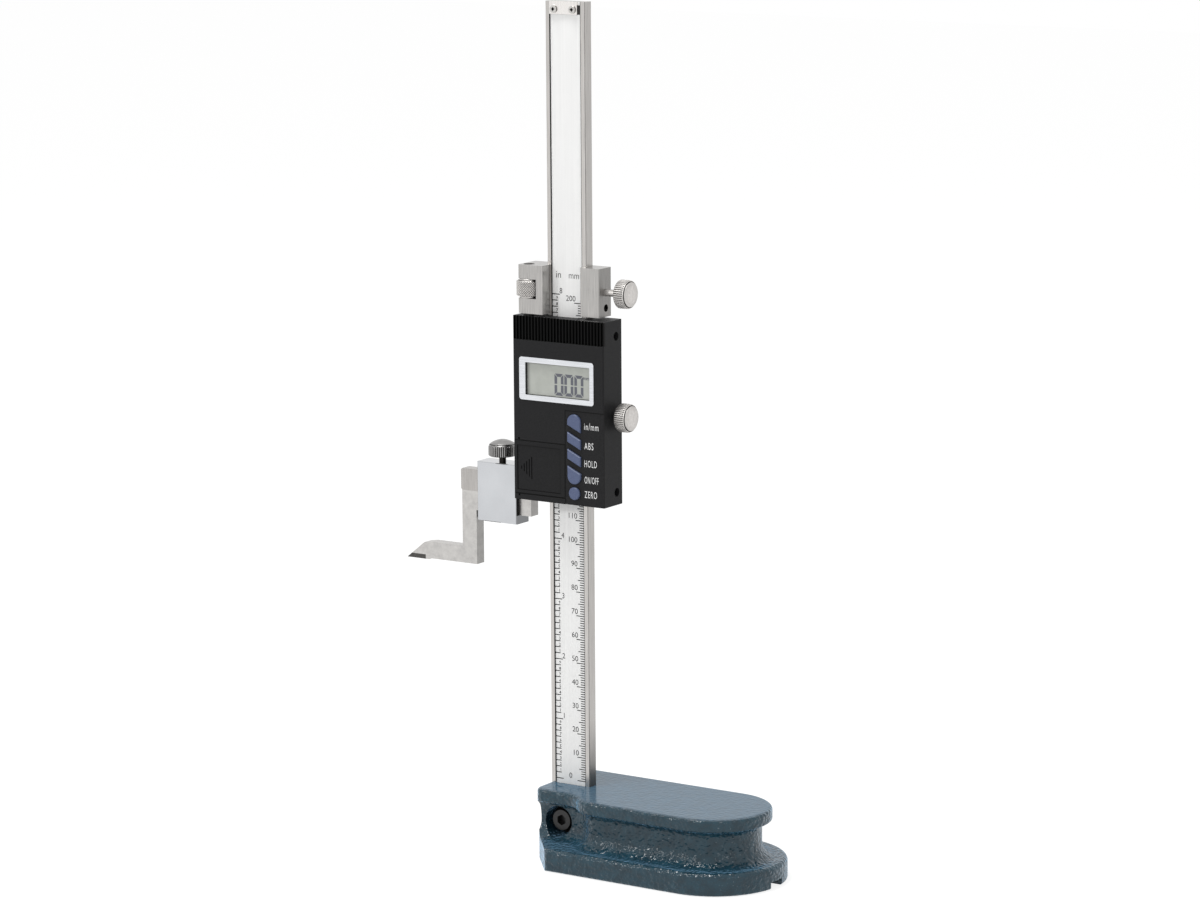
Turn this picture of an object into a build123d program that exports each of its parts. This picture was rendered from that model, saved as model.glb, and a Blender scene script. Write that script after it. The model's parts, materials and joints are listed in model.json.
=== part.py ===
from build123d import *
import os
from math import atan2, cos, degrees, pi, sin, sqrt

# Digital height gauge, 200 mm range. Millimetres, +Z up, +X to the right of the display,
# -Y towards the reader. The origin is on the ground face under the middle of the beam.

# --- Fits -------------------------------------------------------------------------------
slide_gap = 0.05            # between faces that slide on each other
turn_gap = 0.06             # radial, between a shaft and its bore
loose_gap = 0.12            # around buttons, covers and loose inner pieces
seat_gap = 0.02             # around pieces that are set in a pocket for good
pick_gap = 0.01             # how far an edge may lie from where it is looked for

# --- Base casting -----------------------------------------------------------------------
base_height = 30.0
foot_half_width = 30.0
foot_height = 9.3
foot_round = 2.0
foot_corner_length = 15.0   # the front left corner is cut off over this length
foot_corner_width = 18.0    # and over this width
foot_corner_round = 6.0
foot_corner_round_front = 3.0
plate_half_width = 23.8
plate_thickness = 5.4
plate_round = 1.5
tongue_half_width = 15.8    # the plate is narrower in front of the clamp screw
tongue_length = 15.5        # straight part, before the S-shaped turn to the full plate
tongue_turn_length = 18.0
tongue_corner_round = 4.5
round_end_x = 68.4          # centre of the round right end
neck_inset = 4.2            # the neck stands this far inside the plate
neck_foot_radius = 6.4
neck_plate_radius = 3.5
left_end_reach = 0.3        # the casting stands this far beyond the beam on the left
left_waist_depth = 1.2      # hollow across the left end
left_waist_height = 17.0
left_waist_middle = 16.5
ground_round = 1.0
relief_width = 8.6          # groove in the ground face, open at the right end
relief_depth = 3.0
relief_start_x = 20.0
slot_floor = 3.0            # iron left under the beam

# --- Clamp screw of the base (M5 socket head) -------------------------------------------
base_screw_height = 16.3
base_screw_radius = 2.5
base_screw_length = 20.0
base_screw_head_radius = 4.25
base_screw_head_length = 5.0
base_screw_socket = 4.0
base_screw_socket_depth = 2.6
counterbore_radius = 6.5
counterbore_wall = 2.1      # iron left between the counterbore and the beam

# --- Beam and scale ---------------------------------------------------------------------
beam_width = 19.0
beam_depth = 5.0
beam_top = 354.2
beam_edge = 0.3
recess_width = 14.6
recess_depth = 1.2
grid_thickness = 0.6
scale_thickness = 0.2
scale_start = 27.0          # lower end of the scale, inside the base

# --- Stop plate at the top of the beam --------------------------------------------------
stop_plate_width = 13.4
stop_plate_height = 5.2
stop_plate_thickness = 0.8
stop_screw_spacing = 9.0
stop_screw_drop = 3.2       # from the beam's top
stop_screw_head_radius = 1.5
stop_screw_head_height = 0.7
stop_screw_radius = 0.8
stop_screw_length = 2.2
cross_width = 0.35
cross_length = 1.7
cross_depth = 0.4

# --- Slider: housing --------------------------------------------------------------------
unit_bottom = 149.9         # at rest; the scale then reads 118
unit_height = 76.2
unit_width = 44.2
unit_front = 9.6            # distance of the front face before the beam axis
unit_back = 4.4             # distance of the back face behind the beam axis
side_wall = 2.0
front_wall = 1.6
end_wall = 1.6
housing_round = 0.6
grip_height = 9.8
grip_pitch = 1.52
grip_groove = 1.0
grip_depth = 0.7
grip_setback = 0.35         # the ribs lie this far behind the front face
side_hole_radius = 1.8
gib_screw_inset = 5.3       # from the lower end of the unit, and 6.6 from the upper end
gib_screw_inset_top = 6.6
end_gap = 0.6               # between the housing and the beam that runs through it

# --- Slider: steel frame ----------------------------------------------------------------
frame_ledge = 5.0           # back plate beside the rails, with the frame's screws
frame_lip_width = 1.8       # how far a lip covers the beam's front rim
frame_lip_thickness = 1.35
gib_thickness = 1.2
gib_height = 4.4
frame_screw_radius = 1.0
frame_screw_head_radius = 1.9
frame_screw_head_height = 1.1
frame_screw_length = 6.0
frame_screw_inset = 4.0
screw_boss_half_height = 2.5

# --- Jaw bar ----------------------------------------------------------------------------
jaw_drop = 0.4              # the bar's underside lies this far below the housing
jaw_height = 9.2
jaw_depth = 5.2
jaw_offset = 0.8            # its middle lies this far before the beam axis
jaw_end_reach = 0.5         # beyond the scriber's arm
jaw_chamfer = 0.6

# --- Display ----------------------------------------------------------------------------
bezel_width = 36.3
bezel_height = 17.7
bezel_x = -0.7
bezel_z = 50.6              # above the lower end of the unit
bezel_thickness = 0.5
bezel_proud = 0.3
bezel_round = 1.2
window_width = 31.4
window_height = 13.4
window_x = -0.2
window_round = 0.4
lcd_below_bezel = 1.1
board_thickness = 1.1
board_margin = 1.0

# --- Buttons ----------------------------------------------------------------------------
button_width = 6.4
button_x = 7.8
button_slope = 3.0          # drop of the slanted edges over the button's width
button_side = 4.05          # height of a slanted button's side
button_end_side = 1.25      # straight side of the buttons with a round end
button_pitch = 7.0
button_top = 37.6           # top of the uppermost button above the unit's lower end
zero_button_radius = 2.6
zero_button_z = 4.9
button_proud = 0.7
button_edge = 0.3
button_travel = 0.5
button_flange = 0.6
button_flange_thickness = 0.7
keypad_left_x = 3.2
keypad_height = 38.8
keypad_recess = 0.2

# --- Battery compartment ----------------------------------------------------------------
cover_right_x = 2.8
cover_bottom = 2.7          # above the unit's lower end
cover_height = 21.8
cover_border_left = 1.7     # raised border around the cover's lower field
cover_border_right = 2.0
cover_border_bottom = 1.3
cover_border_top = 1.8
cover_field_depth = 0.25
cover_skin = 0.8
cover_tongue = 0.8          # the cover's rails reach this far under the housing
cover_tongue_thickness = 0.55
cover_return = 2.4          # depth of the cover's wall on the left side
arrow_bars = 5
arrow_pitch = 1.25
arrow_step = 2.0
arrow_first = 1.4
arrow_groove = 0.45
arrow_depth = 0.25
arrow_inset = 3.7           # from the cover's left end to the first bar
catch_hole_radius = 0.45
catch_hole_inset = 2.6
catch_hole_gap = 0.9        # from the cover's edges to the middle of the holes
battery_radius = 10.0       # 2032 cell
battery_thickness = 3.2
contact_thickness = 0.5

# --- Knurled thumb screws ---------------------------------------------------------------
knob_radius = 6.0
knob_length = 4.6
knob_face_length = 0.6
knob_dome = 0.35
clamp_knob_dome = 1.6
knob_teeth = 36
knob_tooth_depth = 0.35
knob_groove = 0.3
thumb_shank_radius = 1.45
lock_knob_stand = 2.1       # from the unit's side to the knob's inner face
lock_screw_z = 36.4         # above the unit's lower end

# --- Fine adjustment --------------------------------------------------------------------
carriage_gap = 1.0          # between the unit and the carriage at rest
carriage_height = 20.0
carriage_rod_wall = 3.2     # from the rod's axis to the carriage's left side
carriage_right_inset = 4.8  # from the unit's right side
carriage_front_left = 8.8
carriage_front_right = 5.0
carriage_back = 4.0
carriage_lip = 1.5
carriage_edge = 0.3
adjust_rod_inset = 3.6      # from the housing's inner left wall
adjust_rod_y = -5.5
adjust_rod_radius = 2.0
adjust_rod_below_top = 1.0
rod_lug_height = 12.0
rod_lug_half_width = 3.3
rod_hole_gap = 0.3
nut_radius = 5.2
nut_length = 6.4
nut_collar_radius = 3.6
nut_collar_length = 0.7
nut_from_bottom = 6.3
nut_end_gap = 0.1
nut_wall_gap = 0.3
carriage_screw_z = 9.9      # above the carriage's lower end
carriage_grub_z = 3.6
grub_radius = 1.5
grub_length = 4.0
carriage_pad_thickness = 0.5
carriage_pad_inset = 1.0

# --- Scriber and its clamp --------------------------------------------------------------
shank_height = 8.0
shank_tuck = 4.1            # the shank ends this far under the unit
arm_width = 7.2
scriber_drop = 31.0         # from the top of the shank to the foot's underside
foot_thickness = 7.1
tip_reach = 28.6            # from the arm's left side to the cutting edge
tip_bevel_run = 8.8
tip_bevel_round = 3.5
tip_bevel_fall = 0.5
carbide_length = 9.5
carbide_height = 1.9
carbide_drop = 0.5
carbide_step = 2.3
clamp_box_gap = 1.9         # between the unit and the box
clamp_arm_gap = 1.9         # between the box and the scriber's arm
clamp_box_length = 19.6
clamp_box_depth = 9.2
clamp_box_wall = 1.8
clamp_box_bottom = 3.7
clamp_box_top = 3.0
clamp_box_headroom = 1.1
clamp_screw_exposed = 2.5

# --- Sizes that follow ------------------------------------------------------------------
half_beam = beam_width / 2
half_depth = beam_depth / 2
left_end = -half_beam - left_end_reach
unit_top = unit_bottom + unit_height
half_unit = unit_width / 2
front = -unit_front
inner_front = front + front_wall
inner_half = half_unit - side_wall
frame_half_width = inner_half - frame_ledge
inner_bottom = unit_bottom + end_wall
inner_top = unit_top - end_wall
lip_front = -half_depth - slide_gap - frame_lip_thickness
frame_back = half_depth + slide_gap
gib_outer = half_beam + 2 * slide_gap + gib_thickness
jaw_bottom = unit_bottom - jaw_drop
jaw_front = -jaw_offset - jaw_depth / 2
jaw_back = -jaw_offset + jaw_depth / 2
cover_left_x = -half_unit
cover_z0 = unit_bottom + cover_bottom
cover_z1 = cover_z0 + cover_height
carriage_bottom = unit_top + carriage_gap
carriage_top = carriage_bottom + carriage_height
nut_z0 = carriage_bottom + nut_from_bottom
nut_total = nut_length + 2 * nut_collar_length
lock_z = unit_bottom + lock_screw_z
lock_knob_x = half_unit + lock_knob_stand
adjust_rod_x = -inner_half + adjust_rod_inset
carriage_left = -adjust_rod_x + carriage_rod_wall
carriage_right = half_unit - carriage_right_inset
clamp_box_right_x = -half_unit - clamp_box_gap
clamp_box_left_x = clamp_box_right_x - clamp_box_length
clamp_box_x = (clamp_box_left_x + clamp_box_right_x) / 2
arm_right_x = clamp_box_left_x - clamp_arm_gap
arm_left_x = arm_right_x - arm_width
jaw_end_x = arm_left_x - jaw_end_reach
tip_x = arm_left_x - tip_reach
gib_screw_heights = (unit_bottom + gib_screw_inset, unit_top - gib_screw_inset_top)

os.makedirs("parts", exist_ok=True)


def block(x0, x1, y0, y1, z0, z1):
    """A box between two opposite corners."""
    return Pos(x0, y0, z0) * Box(x1 - x0, y1 - y0, z1 - z0, align=(Align.MIN,) * 3)


def pin(start, direction, radius, length):
    """A round bar that starts at a point and runs along a direction."""
    bar = Cylinder(radius, length, align=(Align.CENTER, Align.CENTER, Align.MIN))
    return Plane(origin=start, z_dir=direction) * bar


def thumb_screw(shank_length, dome_height=knob_dome):
    """Knurled thumb screw on +Z; z = 0 is the knob's inner face, the shank goes down."""
    root = knob_radius - knob_tooth_depth
    chamfer = knob_groove
    face_radius = root - chamfer
    face_z = knob_length + knob_face_length + chamfer / 2
    dome_radius = (face_radius**2 + dome_height**2) / (2 * dome_height)
    dome_rise = dome_height - dome_radius + sqrt(dome_radius**2 - (face_radius / 2) ** 2)
    profile = Polyline(
        (0, face_z + dome_height),
        (0, 0),
        (root - chamfer, 0),
        (root, chamfer),
        (root, knob_length),
        (root - knob_groove, knob_length + knob_groove / 2),
        (root, knob_length + knob_groove),
        (root, knob_length + knob_face_length),
        (face_radius, face_z),
    )
    dome = ThreePointArc(
        (face_radius, face_z), (face_radius / 2, face_z + dome_rise), (0, face_z + dome_height)
    )
    body = revolve(Plane.XZ * make_face(profile + dome), Axis.Z)
    corners = []
    for tooth in range(knob_teeth):
        for radius, turn in ((root, 0.0), (knob_radius, 0.5)):
            angle = 2 * pi * (tooth + turn) / knob_teeth
            corners.append((radius * cos(angle), radius * sin(angle)))
    ring = extrude(make_face(Polyline(*corners, close=True)), knob_length - 2 * chamfer)
    shank = pin((0, 0, -shank_length), (0, 0, 1), thumb_shank_radius, shank_length)
    return body + Pos(0, 0, chamfer) * ring + shank


def along_x(shape, x, y, z):
    """Lay a shape that was made on +Z along +X, with its zero at a point."""
    return Plane(origin=(x, y, z), x_dir=(0, 1, 0), z_dir=(1, 0, 0)) * shape


def prism(outline, y0, y1):
    """An outline drawn in X and Z, made solid from y0 back to y1."""
    plane = Plane(origin=(0, y1, 0), x_dir=(1, 0, 0), z_dir=(0, -1, 0))
    return extrude(plane * outline, y1 - y0)


# --- Base -------------------------------------------------------------------------------
def plate_outline(inset):
    """Top view of the plate; with an inset, of the neck that stands inside it."""
    half = plate_half_width - inset
    step = plate_half_width - tongue_half_width
    turn = 2 * atan2(step, tongue_turn_length)
    radius = tongue_turn_length / (2 * sin(turn))
    straight_x = left_end + tongue_length + tongue_turn_length
    with BuildSketch() as sketch:
        with BuildLine():
            back = Line((left_end, half), (round_end_x, half))
            end = JernArc(back @ 1, back % 1, half, -180)
            side = Line(end @ 1, (straight_x, -half))
            outer_turn = JernArc(side @ 1, side % 1, radius - inset, -degrees(turn))
            inner_turn = JernArc(outer_turn @ 1, outer_turn % 1, radius + inset, degrees(turn))
            tongue_edge = Line(inner_turn @ 1, (left_end, -tongue_half_width + inset))
            Line(tongue_edge @ 1, back @ 0)
        make_face()
    return sketch.sketch


def foot_outline():
    """Top view of the foot: straight sides and a round right end."""
    with BuildSketch() as sketch:
        with BuildLine():
            back = Line((left_end, foot_half_width), (round_end_x, foot_half_width))
            end = JernArc(back @ 1, back % 1, foot_half_width, -180)
            side = Line(end @ 1, (left_end, -foot_half_width))
            Line(side @ 1, back @ 0)
        make_face()
    return sketch.sketch


def foot_corner():
    """What is cut off at the left end of the foot, seen from the top."""
    cut_y = -foot_half_width + foot_corner_width
    cut_x = left_end + foot_corner_length
    kept = make_face(Polyline(
        (left_end, foot_half_width),
        (left_end, cut_y),
        (cut_x, -foot_half_width),
        (round_end_x, -foot_half_width),
        (round_end_x, foot_half_width),
        close=True,
    ))
    kept = fillet(kept.vertices().group_by(Axis.X)[0], foot_corner_round)
    front_corner = kept.vertices().sort_by_distance((cut_x, -foot_half_width))[0]
    return left_rectangle(foot_half_width) - fillet(front_corner, foot_corner_round_front)


def plate_corner():
    """What is rounded off at the left end of the plate, seen from the top."""
    corners = plate_outline(0).vertices().group_by(Axis.X)[0]
    return left_rectangle(plate_half_width) - fillet(corners, tongue_corner_round)


def left_rectangle(half):
    """The left half of a base outline, with square corners."""
    return Pos(left_end, 0) * Rectangle(round_end_x, 2 * half, align=(Align.MIN, Align.CENTER))


def free_edges(shape, outline, height):
    """Edges of a shape that lie on an outline at a height, left end excepted."""
    rim = (Pos(0, 0, height) * outline).face().outer_wire()
    found = []
    for edge in shape.edges().filter_by_position(Axis.Z, height - pick_gap, height + pick_gap):
        middle = edge @ 0.5
        if rim.distance_to(middle) < pick_gap and middle.X > left_end + pick_gap:
            found.append(edge)
    return found


def make_base_casting():
    """Iron casting: foot, waisted neck and top plate, with the beam slot milled in."""
    plate_bottom = base_height - plate_thickness
    foot = extrude(foot_outline(), foot_height)
    foot = fillet(free_edges(foot, foot_outline(), foot_height), foot_round)
    foot = fillet(free_edges(foot, foot_outline(), 0), ground_round)
    plate = Pos(0, 0, plate_bottom) * extrude(plate_outline(0), plate_thickness)
    plate = fillet(free_edges(plate, plate_outline(0), plate_bottom), plate_round / 2)
    neck_outline = plate_outline(neck_inset)
    neck = Pos(0, 0, foot_height) * extrude(neck_outline, plate_bottom - foot_height)
    casting = foot + neck + plate
    casting = fillet(free_edges(casting, neck_outline, foot_height), neck_foot_radius)
    casting = fillet(free_edges(casting, neck_outline, plate_bottom), neck_plate_radius)
    casting -= extrude(foot_corner(), foot_height + neck_foot_radius)
    corner_bottom = plate_bottom - neck_plate_radius
    casting -= Pos(0, 0, corner_bottom) * extrude(plate_corner(), base_height - corner_bottom)
    casting = fillet(casting.edges().group_by(Axis.Z)[-1], plate_round)
    # shallow hollow across the left end
    half_waist = left_waist_height / 2
    waist_radius = (half_waist**2 + left_waist_depth**2) / (2 * left_waist_depth)
    waist_x = left_end + left_waist_depth - waist_radius
    waist_start = (waist_x, foot_half_width, left_waist_middle)
    casting -= pin(waist_start, (0, -1, 0), waist_radius, 2 * foot_half_width)
    # relief groove in the ground face
    groove_end = round_end_x + foot_half_width
    half_relief = relief_width / 2
    casting -= block(relief_start_x, groove_end, -half_relief, half_relief, 0, relief_depth)
    # slot for the beam, open at the top and at the left end
    reach = half_depth + seat_gap
    casting -= block(left_end, half_beam + seat_gap, -reach, reach, slot_floor, base_height)
    # counterbore and tapped hole of the clamp screw
    floor_y = -half_depth - counterbore_wall
    mouth = (0, floor_y, base_screw_height)
    casting -= pin(mouth, (0, -1, 0), counterbore_radius, foot_half_width)
    hole = base_screw_length + seat_gap
    casting -= pin(mouth, (0, 1, 0), base_screw_radius + seat_gap, hole)
    return casting


def make_base_clamp_screw():
    """Socket head screw that clamps the beam in the casting."""
    floor_y = -half_depth - counterbore_wall
    seat = (0, floor_y, base_screw_height)
    head = pin(seat, (0, -1, 0), base_screw_head_radius, base_screw_head_length)
    shank = pin(seat, (0, 1, 0), base_screw_radius, base_screw_length)
    face = Plane(origin=(0, floor_y - base_screw_head_length, base_screw_height), z_dir=(0, 1, 0))
    hexagon = RegularPolygon(base_screw_socket / 2, 6, major_radius=False)
    return head + shank - extrude(face * hexagon, base_screw_socket_depth)


def make_beam():
    """Ground steel beam with the long recess for the scale."""
    beam = block(-half_beam, half_beam, -half_depth, half_depth, slot_floor, beam_top)
    beam = chamfer(beam.edges().filter_by(Axis.Z), beam_edge)
    half_recess = recess_width / 2
    floor_y = -half_depth + recess_depth
    beam -= block(-half_recess, half_recess, -half_depth, floor_y, scale_start, beam_top)
    mouth = (0, -half_depth, base_screw_height)
    beam -= pin(mouth, (0, 1, 0), base_screw_radius + loose_gap, beam_depth)
    for x in stop_screw_places():
        drill = stop_screw_radius + seat_gap
        beam -= pin((x, floor_y, stop_screw_z), (0, 1, 0), drill, half_depth)
    return beam


strip_floor = -half_depth + recess_depth
scale_back = strip_floor - grid_thickness
scale_face = scale_back - scale_thickness
half_strip = recess_width / 2 - seat_gap
stop_screw_z = beam_top - stop_screw_drop
stop_plate_x = -(recess_width - stop_plate_width) / 2


def stop_screw_places():
    """The two screws of the stop plate, left and right."""
    return (stop_plate_x - stop_screw_spacing / 2, stop_plate_x + stop_screw_spacing / 2)


def drill_strip(strip):
    """Holes of the stop plate's screws through a strip."""
    for x in stop_screw_places():
        start = (x, strip_floor, stop_screw_z)
        strip -= pin(start, (0, -1, 0), stop_screw_radius + seat_gap, recess_depth)
    return strip


def make_grid_strip():
    """Capacitive measuring grid under the scale."""
    strip = block(-half_strip, half_strip, scale_back, strip_floor, scale_start, beam_top)
    return drill_strip(strip)


def make_scale_strip():
    """Thin printed scale over the measuring grid."""
    strip = block(-half_strip, half_strip, scale_face, scale_back, scale_start, beam_top)
    return drill_strip(strip)


def make_stop_plate():
    """Plate that keeps the slider on the beam."""
    x0 = stop_plate_x - stop_plate_width / 2 + seat_gap
    x1 = stop_plate_x + stop_plate_width / 2
    plate_front = scale_face - stop_plate_thickness
    plate = block(x0, x1, plate_front, scale_face, beam_top - stop_plate_height, beam_top)
    for x in stop_screw_places():
        start = (x, scale_face, stop_screw_z)
        plate -= pin(start, (0, -1, 0), stop_screw_radius + seat_gap, stop_plate_thickness)
    return plate


def make_stop_screw(x):
    """Cross recess screw of the stop plate."""
    head_back = scale_face - stop_plate_thickness
    seat = (x, head_back, stop_screw_z)
    head = pin(seat, (0, -1, 0), stop_screw_head_radius, stop_screw_head_height)
    shank = pin(seat, (0, 1, 0), stop_screw_radius, stop_screw_length)
    head_front = head_back - stop_screw_head_height
    cross = Rectangle(cross_length, cross_width) + Rectangle(cross_width, cross_length)
    cut = prism(Pos(x, stop_screw_z) * cross, head_front, head_front + cross_depth)
    return head + shank - cut


# --- Slider frame -----------------------------------------------------------------------
def frame_screw_places():
    """Four screws through the frame's back plate."""
    x = inner_half - frame_ledge / 2
    low = inner_bottom + frame_screw_inset + jaw_height
    high = inner_top - frame_screw_inset - rod_lug_height
    return [(side * x, z) for side in (-1, 1) for z in (low, high)]


def make_slider_frame():
    """Steel frame that runs on the beam, in one piece with the jaw bar and the rod lug."""
    z0 = inner_bottom + seat_gap
    z1 = inner_top - seat_gap
    wide = inner_half - seat_gap
    frame = block(-wide, wide, frame_back, unit_back, z0, z1)
    guide = half_beam + slide_gap
    frame += block(-frame_half_width, -guide, lip_front, frame_back, z0, z1)
    frame += block(gib_outer, frame_half_width, lip_front, frame_back, z0, z1)
    lip_edge = half_beam - frame_lip_width
    lip_back = -half_depth - slide_gap
    frame += block(-frame_half_width, -lip_edge, lip_front, lip_back, z0, z1)
    frame += block(lip_edge, frame_half_width, lip_front, lip_back, z0, z1)
    jaw_top = jaw_bottom + jaw_height
    bar = block(jaw_end_x, -frame_half_width, jaw_front, jaw_back, jaw_bottom, jaw_top)
    bar = chamfer(bar.edges().filter_by(Axis.Y).group_by(Axis.X)[0], jaw_chamfer)
    frame += bar
    lug_right = adjust_rod_x + rod_lug_half_width
    lug_front = adjust_rod_y - adjust_rod_radius - board_margin / 2
    lug_bottom = z1 - rod_lug_height
    frame += block(-wide, lug_right, lug_front, lip_back, lug_bottom, z1)
    rod_seat = (adjust_rod_x, adjust_rod_y, lug_bottom + board_margin)
    frame -= pin(rod_seat, (0, 0, 1), adjust_rod_radius + seat_gap, rod_lug_height)
    for z in gib_screw_heights:
        frame -= pin((gib_outer, 0, z), (1, 0, 0), grub_radius + seat_gap, frame_half_width)
    frame -= pin((gib_outer, 0, lock_z), (1, 0, 0), thumb_shank_radius + turn_gap, frame_half_width)
    for x, z in frame_screw_places():
        frame -= pin((x, frame_back, z), (0, 1, 0), frame_screw_radius + seat_gap, unit_back)
        seat = unit_back - frame_screw_head_height
        frame -= pin((x, seat, z), (0, 1, 0), frame_screw_head_radius + seat_gap, frame_screw_head_height)
    return frame


def make_gib():
    """Brass strip that takes up the play beside the beam."""
    x0 = half_beam + slide_gap
    half = gib_height / 2
    return block(x0, x0 + gib_thickness, -half, half, inner_bottom + loose_gap, inner_top - loose_gap)


def make_gib_screw(z):
    """Grub screw that sets the gib."""
    start = half_beam + slide_gap + gib_thickness
    screw = pin((start, 0, z), (1, 0, 0), grub_radius, grub_length)
    face = Plane(origin=(start + grub_length, 0, z), z_dir=(-1, 0, 0))
    return screw - extrude(face * RegularPolygon(grub_radius / 2, 6, major_radius=False), grub_radius)


def make_frame_screw(x, z):
    """Countersunk level screw that holds the frame to the housing."""
    seat = unit_back - frame_screw_head_height
    head = pin((x, seat, z), (0, 1, 0), frame_screw_head_radius, frame_screw_head_height)
    shank = pin((x, seat, z), (0, -1, 0), frame_screw_radius, frame_screw_length)
    slot_half = cross_width
    slot_reach = frame_screw_head_radius
    slot_front = unit_back - cross_depth
    slot = block(x - slot_reach, x + slot_reach, slot_front, unit_back,
                 z - slot_half, z + slot_half)
    return head + shank - slot


# --- Buttons ----------------------------------------------------------------------------
def round_ended(corners, top):
    """Outline of a button whose last two corners are joined by a half circle."""
    start = corners[-1]
    end = corners[0]
    middle = ((start[0] + end[0]) / 2, top)
    return make_face(Polyline(*corners) + ThreePointArc(start, middle, end))


def button_outlines():
    """Names and outlines of the five buttons, from the top down."""
    w = button_width / 2
    side = button_side
    round_top = unit_bottom + button_top - w
    left = round_top - button_end_side
    corners = [(-w, round_top), (-w, left), (w, left - button_slope), (w, round_top)]
    outlines = [("button_unit", round_ended(corners, round_top + w))]
    left -= button_pitch - side
    for name in ("button_abs", "button_hold"):
        right = left - button_slope
        corners = [(-w, left), (w, right), (w, right - side), (-w, left - side)]
        outlines.append((name, make_face(Polyline(*corners, close=True))))
        left -= button_pitch
    right = left - button_slope
    round_end = right - button_end_side
    corners = [(-w, round_end), (-w, left), (w, right), (w, round_end)]
    outlines.append(("button_power", round_ended(corners, round_end - w)))
    zero = Pos(0, unit_bottom + zero_button_z) * Circle(zero_button_radius)
    outlines.append(("button_zero", zero))
    return [(name, Pos(button_x, 0) * face) for name, face in outlines]


keypad_face = front + keypad_recess
flange_front = inner_front + loose_gap
flange_back = flange_front + button_flange_thickness
board_front = lip_front - board_thickness
mat_front = flange_back + button_travel + loose_gap


def make_button(outline):
    """Push button with a thin skirt behind the front wall."""
    stem = prism(outline, front - button_proud, flange_back)
    stem = chamfer(stem.faces().sort_by(Axis.Y)[0].edges(), button_edge)
    skirt = prism(offset(outline, button_flange, kind=Kind.INTERSECTION), flange_front, flange_back)
    return stem + skirt


def make_keypad_mat():
    """Silicone mat between the buttons and the circuit board."""
    x0 = button_x - button_width / 2 - button_flange
    x1 = button_x + button_width / 2 + button_flange
    z0 = inner_bottom + loose_gap
    z1 = unit_bottom + keypad_height
    return block(x0, x1, mat_front, board_front, z0, z1)


# --- Housing ----------------------------------------------------------------------------
def make_housing():
    """Moulded housing, open at the back: grip ribs, display and keypad openings."""
    body = block(-half_unit, half_unit, front, unit_back, unit_bottom, unit_top)
    body = fillet(body.edges().filter_by(Axis.Z), housing_round)
    body -= block(-inner_half, inner_half, inner_front, unit_back, inner_bottom, inner_top)
    # grip ribs at the upper end of the front
    grip_bottom = unit_top - grip_height
    body -= block(-half_unit, half_unit, front, front + grip_setback, grip_bottom, unit_top)
    grooves = int(unit_width / grip_pitch)
    for groove in range(grooves):
        x = (groove - (grooves - 1) / 2) * grip_pitch
        half = grip_groove / 2
        groove_back = front + grip_setback + grip_depth
        body -= block(x - half, x + half, front, groove_back, grip_bottom, unit_top)
    # bosses for the frame's screws
    boss_x = frame_half_width + loose_gap
    boss_front = unit_back - frame_screw_head_height - frame_screw_length - loose_gap
    for x, z in frame_screw_places():
        x0 = -inner_half if x < 0 else boss_x
        x1 = -boss_x if x < 0 else inner_half
        z0 = z - screw_boss_half_height
        z1 = z + screw_boss_half_height
        body += block(x0, x1, boss_front, frame_back - seat_gap, z0, z1)
        start = (x, frame_back, z)
        length = frame_back - boss_front
        body -= pin(start, (0, -1, 0), frame_screw_radius + seat_gap, length)
    # the beam runs through both ends, and the rod through the upper end
    side = half_beam + end_gap
    reach = half_depth + end_gap
    body -= block(-side, side, -reach, unit_back, unit_bottom, unit_top)
    drill = adjust_rod_radius + end_gap
    body -= pin((adjust_rod_x, adjust_rod_y, inner_top), (0, 0, 1), drill, end_wall)
    # notch for the jaw bar in the left wall and the lower end
    bar_front = jaw_front - loose_gap
    bar_back = jaw_back + loose_gap
    bar_right = -frame_half_width + loose_gap
    bar_top = jaw_bottom + jaw_height + loose_gap
    body -= block(-half_unit, bar_right, bar_front, bar_back, unit_bottom, bar_top)
    # side holes for the gib screws and the lock screw
    for z in gib_screw_heights:
        body -= pin((inner_half, 0, z), (1, 0, 0), side_hole_radius, side_wall)
    body -= pin((inner_half, 0, lock_z), (1, 0, 0), side_hole_radius, side_wall)
    # display opening with a shallow seat for the bezel
    bezel_back = front - bezel_proud + bezel_thickness
    seat = RectangleRounded(bezel_width + 2 * seat_gap, bezel_height + 2 * seat_gap, bezel_round)
    body -= prism(Pos(bezel_x, unit_bottom + bezel_z) * seat, front, bezel_back)
    window = RectangleRounded(window_width, window_height, window_round)
    body -= prism(Pos(window_x, unit_bottom + bezel_z) * window, front, inner_front)
    # keypad field and its openings
    keypad_top = unit_bottom + keypad_height
    body -= block(keypad_left_x, half_unit, front, keypad_face, unit_bottom, keypad_top)
    for name, outline in button_outlines():
        body -= prism(offset(outline, loose_gap, kind=Kind.INTERSECTION), front, inner_front)
    # battery opening with grooves for the cover's rails, open at the left
    low = cover_z0 - loose_gap
    high = cover_z1 + loose_gap
    right = cover_right_x + loose_gap
    body -= block(cover_left_x, right, front, inner_front, low, high)
    rail_front = front + cover_skin - loose_gap
    rail_back = rail_front + cover_tongue_thickness + 2 * loose_gap
    rail = cover_tongue + loose_gap
    body -= block(cover_left_x, right, rail_front, rail_back, low - cover_tongue, high + cover_tongue)
    body -= block(cover_left_x, -inner_half, front, front + cover_return + loose_gap, low, high)
    body -= block(cover_right_x, right + rail, rail_front, rail_back, low, high)
    # small holes beside the cover, for prising it off
    x = cover_left_x + catch_hole_inset
    for z in (cover_z0 - catch_hole_gap, cover_z1 + catch_hole_gap):
        body -= pin((x, front, z), (0, 1, 0), catch_hole_radius, cover_skin)
    return body


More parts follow.
